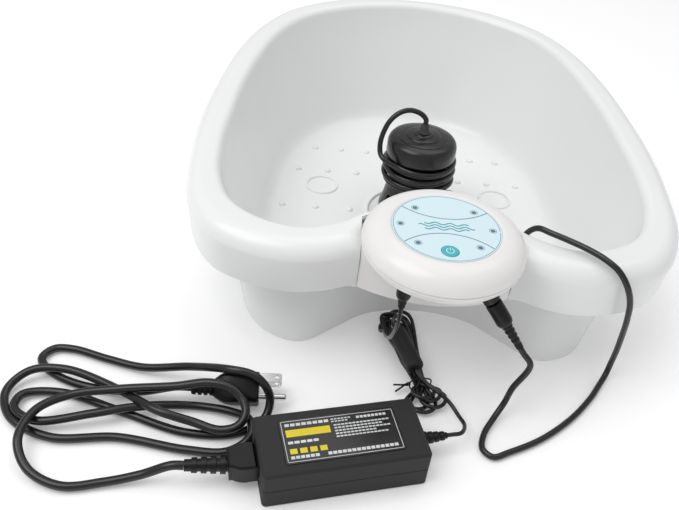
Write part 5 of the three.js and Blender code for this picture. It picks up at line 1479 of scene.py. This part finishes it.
    def declare(self, lead: bpy.types.Object, line: list[Vector], diameter: float, far_end: str, stiffness: str,
                lay: str, pieces: list[str]) -> None:
        """Declares a free cord with its real length, exit, end and the pieces on it."""
        length = length_of(line) * MM
        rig.cord(lead, exit=tuple(line[0] * MM), length=length, diameter=diameter * MM, far_end=far_end,
                stiffness=stiffness, lay=lay, with_pieces=pieces, path=[tuple(p * MM) for p in line])
        LOG.info("cord %s: %.3f m", lead.name, length)

    def build(self) -> None:
        """Lays every lead."""
        self.lay_mains()
        self.lay_array_cable()
        self.lay_low_lead()


HEAD = ControlHead()
PLUGS = Plugs()


# ---------------------------------------------------------------- CAD nodes that stay
KEPT_FINISHES = {
    "head_seal_ring": RUBBER, "light_pipe": INDICATOR, "control_board": BOARD, "tact_switch": CASE_BLACK,
    "head_screw_1": METAL, "head_screw_2": METAL, "head_screw_3": METAL, "dc_socket": ARRAY_BLACK,
    "array_socket": ARRAY_BLACK, "dc_plug_barrel": METAL, "array_plug_barrel": METAL,
    "electrode_carrier": ARRAY_BLACK, "electrode_rod": METAL, "electrode_coil": METAL, "adapter_board": BOARD,
    "adapter_transformer": TAPE, "adapter_capacitor": SLEEVE_BLUE, "adapter_output_capacitor": SLEEVE_BLUE,
    "adapter_inlet": ARRAY_BLACK,
}


def dress_kept_nodes(nodes: dict[str, bpy.types.Object]) -> None:
    """Gives each CAD node that stays its detailed material."""
    for name, finish in KEPT_FINISHES.items():
        nodes[name].data.materials.clear()
        nodes[name].data.materials.append(finish.make())
        LOG.info("node %s: %s", name, finish.name)


# ---------------------------------------------------------------- the studio
@dataclass(frozen=True)
class Studio:
    """The camera, the pale floor and the soft lights."""

    lens: float = 40.18
    place: Point = (-0.08599, -0.59803, 0.41931)
    yaw: float = 2.26
    pitch: float = 37.973
    roll: float = 6.238

    def add_camera(self) -> None:
        """Adds the camera and makes it the scene's."""
        yaw, pitch, roll = (math.radians(a) for a in (self.yaw, self.pitch, self.roll))
        level = Vector((math.sin(yaw), math.cos(yaw), 0))
        forward = level * math.cos(pitch) - Vector((0, 0, math.sin(pitch)))
        right = Vector((math.cos(yaw), -math.sin(yaw), 0))
        up = right.cross(forward)
        tilted = right * math.cos(roll) + up * math.sin(roll)
        upright = up * math.cos(roll) - right * math.sin(roll)
        camera = bpy.data.objects.new("camera", bpy.data.cameras.new("camera"))
        camera.data.lens = self.lens
        camera.data.sensor_width = 36
        camera.data.clip_start = 0.01
        turn = Matrix((tilted, upright, -forward)).transposed().to_4x4()
        camera.matrix_world = Matrix.Translation(self.place) @ turn
        bpy.context.scene.collection.objects.link(camera)
        bpy.context.scene.camera = camera

    def add_floor(self) -> None:
        """Adds the plain pale floor."""
        bm = bmesh.new()
        bmesh.ops.create_grid(bm, x_segments=1, y_segments=1, size=6)
        floor = make_object("studio_floor", bm)
        floor.location.z = -0.0004
        material = bpy.data.materials.new("studio_floor")
        material.use_nodes = True
        shader = material.node_tree.nodes["Principled BSDF"]
        shader.inputs["Base Color"].default_value = (0.95, 0.95, 0.95, 1)
        shader.inputs["Emission Color"].default_value = (1, 1, 1, 1)
        shader.inputs["Emission Strength"].default_value = 0.16
        shader.inputs["Roughness"].default_value = 0.75
        shader.inputs["Specular IOR Level"].default_value = 0.15
        floor.data.materials.append(material)
        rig.stage(floor)

    def add_light(self, name: str, place: Point, aim: Point, size: float, power: float) -> None:
        """Adds one soft square light.

        Args:
            name: its name.
            place: where it stands, in metres.
            aim: the point it faces.
            size: the length of its side.
            power: its power in watts.
        """
        lamp = bpy.data.lights.new(name, "AREA")
        lamp.energy = power
        lamp.size = size
        made = bpy.data.objects.new(name, lamp)
        made.location = place
        made.rotation_euler = (Vector(aim) - Vector(place)).to_track_quat("-Z", "Y").to_euler()
        bpy.context.scene.collection.objects.link(made)

    def build(self) -> None:
        """Sets up the whole studio."""
        self.add_camera()
        self.add_floor()
        world = bpy.data.worlds.new("studio")
        world.use_nodes = True
        sky = world.node_tree.nodes["Background"]
        sky.inputs["Color"].default_value = (1, 1, 1, 1)
        sky.inputs["Strength"].default_value = 0.5
        bpy.context.scene.world = world
        self.add_light("key", (-0.9, -0.5, 1.7), (0, 0, 0.05), 1.3, 15)
        self.add_light("top", (0.25, 0.5, 1.9), (0, 0, 0.05), 1.6, 9)
        bpy.context.scene.view_settings.view_transform = "Standard"


def main() -> None:
    """Builds every piece round the frame, in order, and writes the sizes."""
    logging.basicConfig(level=logging.INFO, format="%(message)s")
    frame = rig.load()
    cad_box = [list(corner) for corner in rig.bounds()]
    Studio().build()
    moulded_skin()
    drawn_metal()
    Plugs().build()
    PowerSupply().build()
    WallPlug().build()
    WaterArray().build()
    Leads().build()
    HEAD.build()
    Tub().build()
    dress_kept_nodes(frame["nodes"])
    bpy.context.view_layer.update()
    with open("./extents.json", "w") as out:
        json.dump({"cad": cad_box, "visual": [list(corner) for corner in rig.bounds()]}, out)


if __name__ == "__main__":
    main()
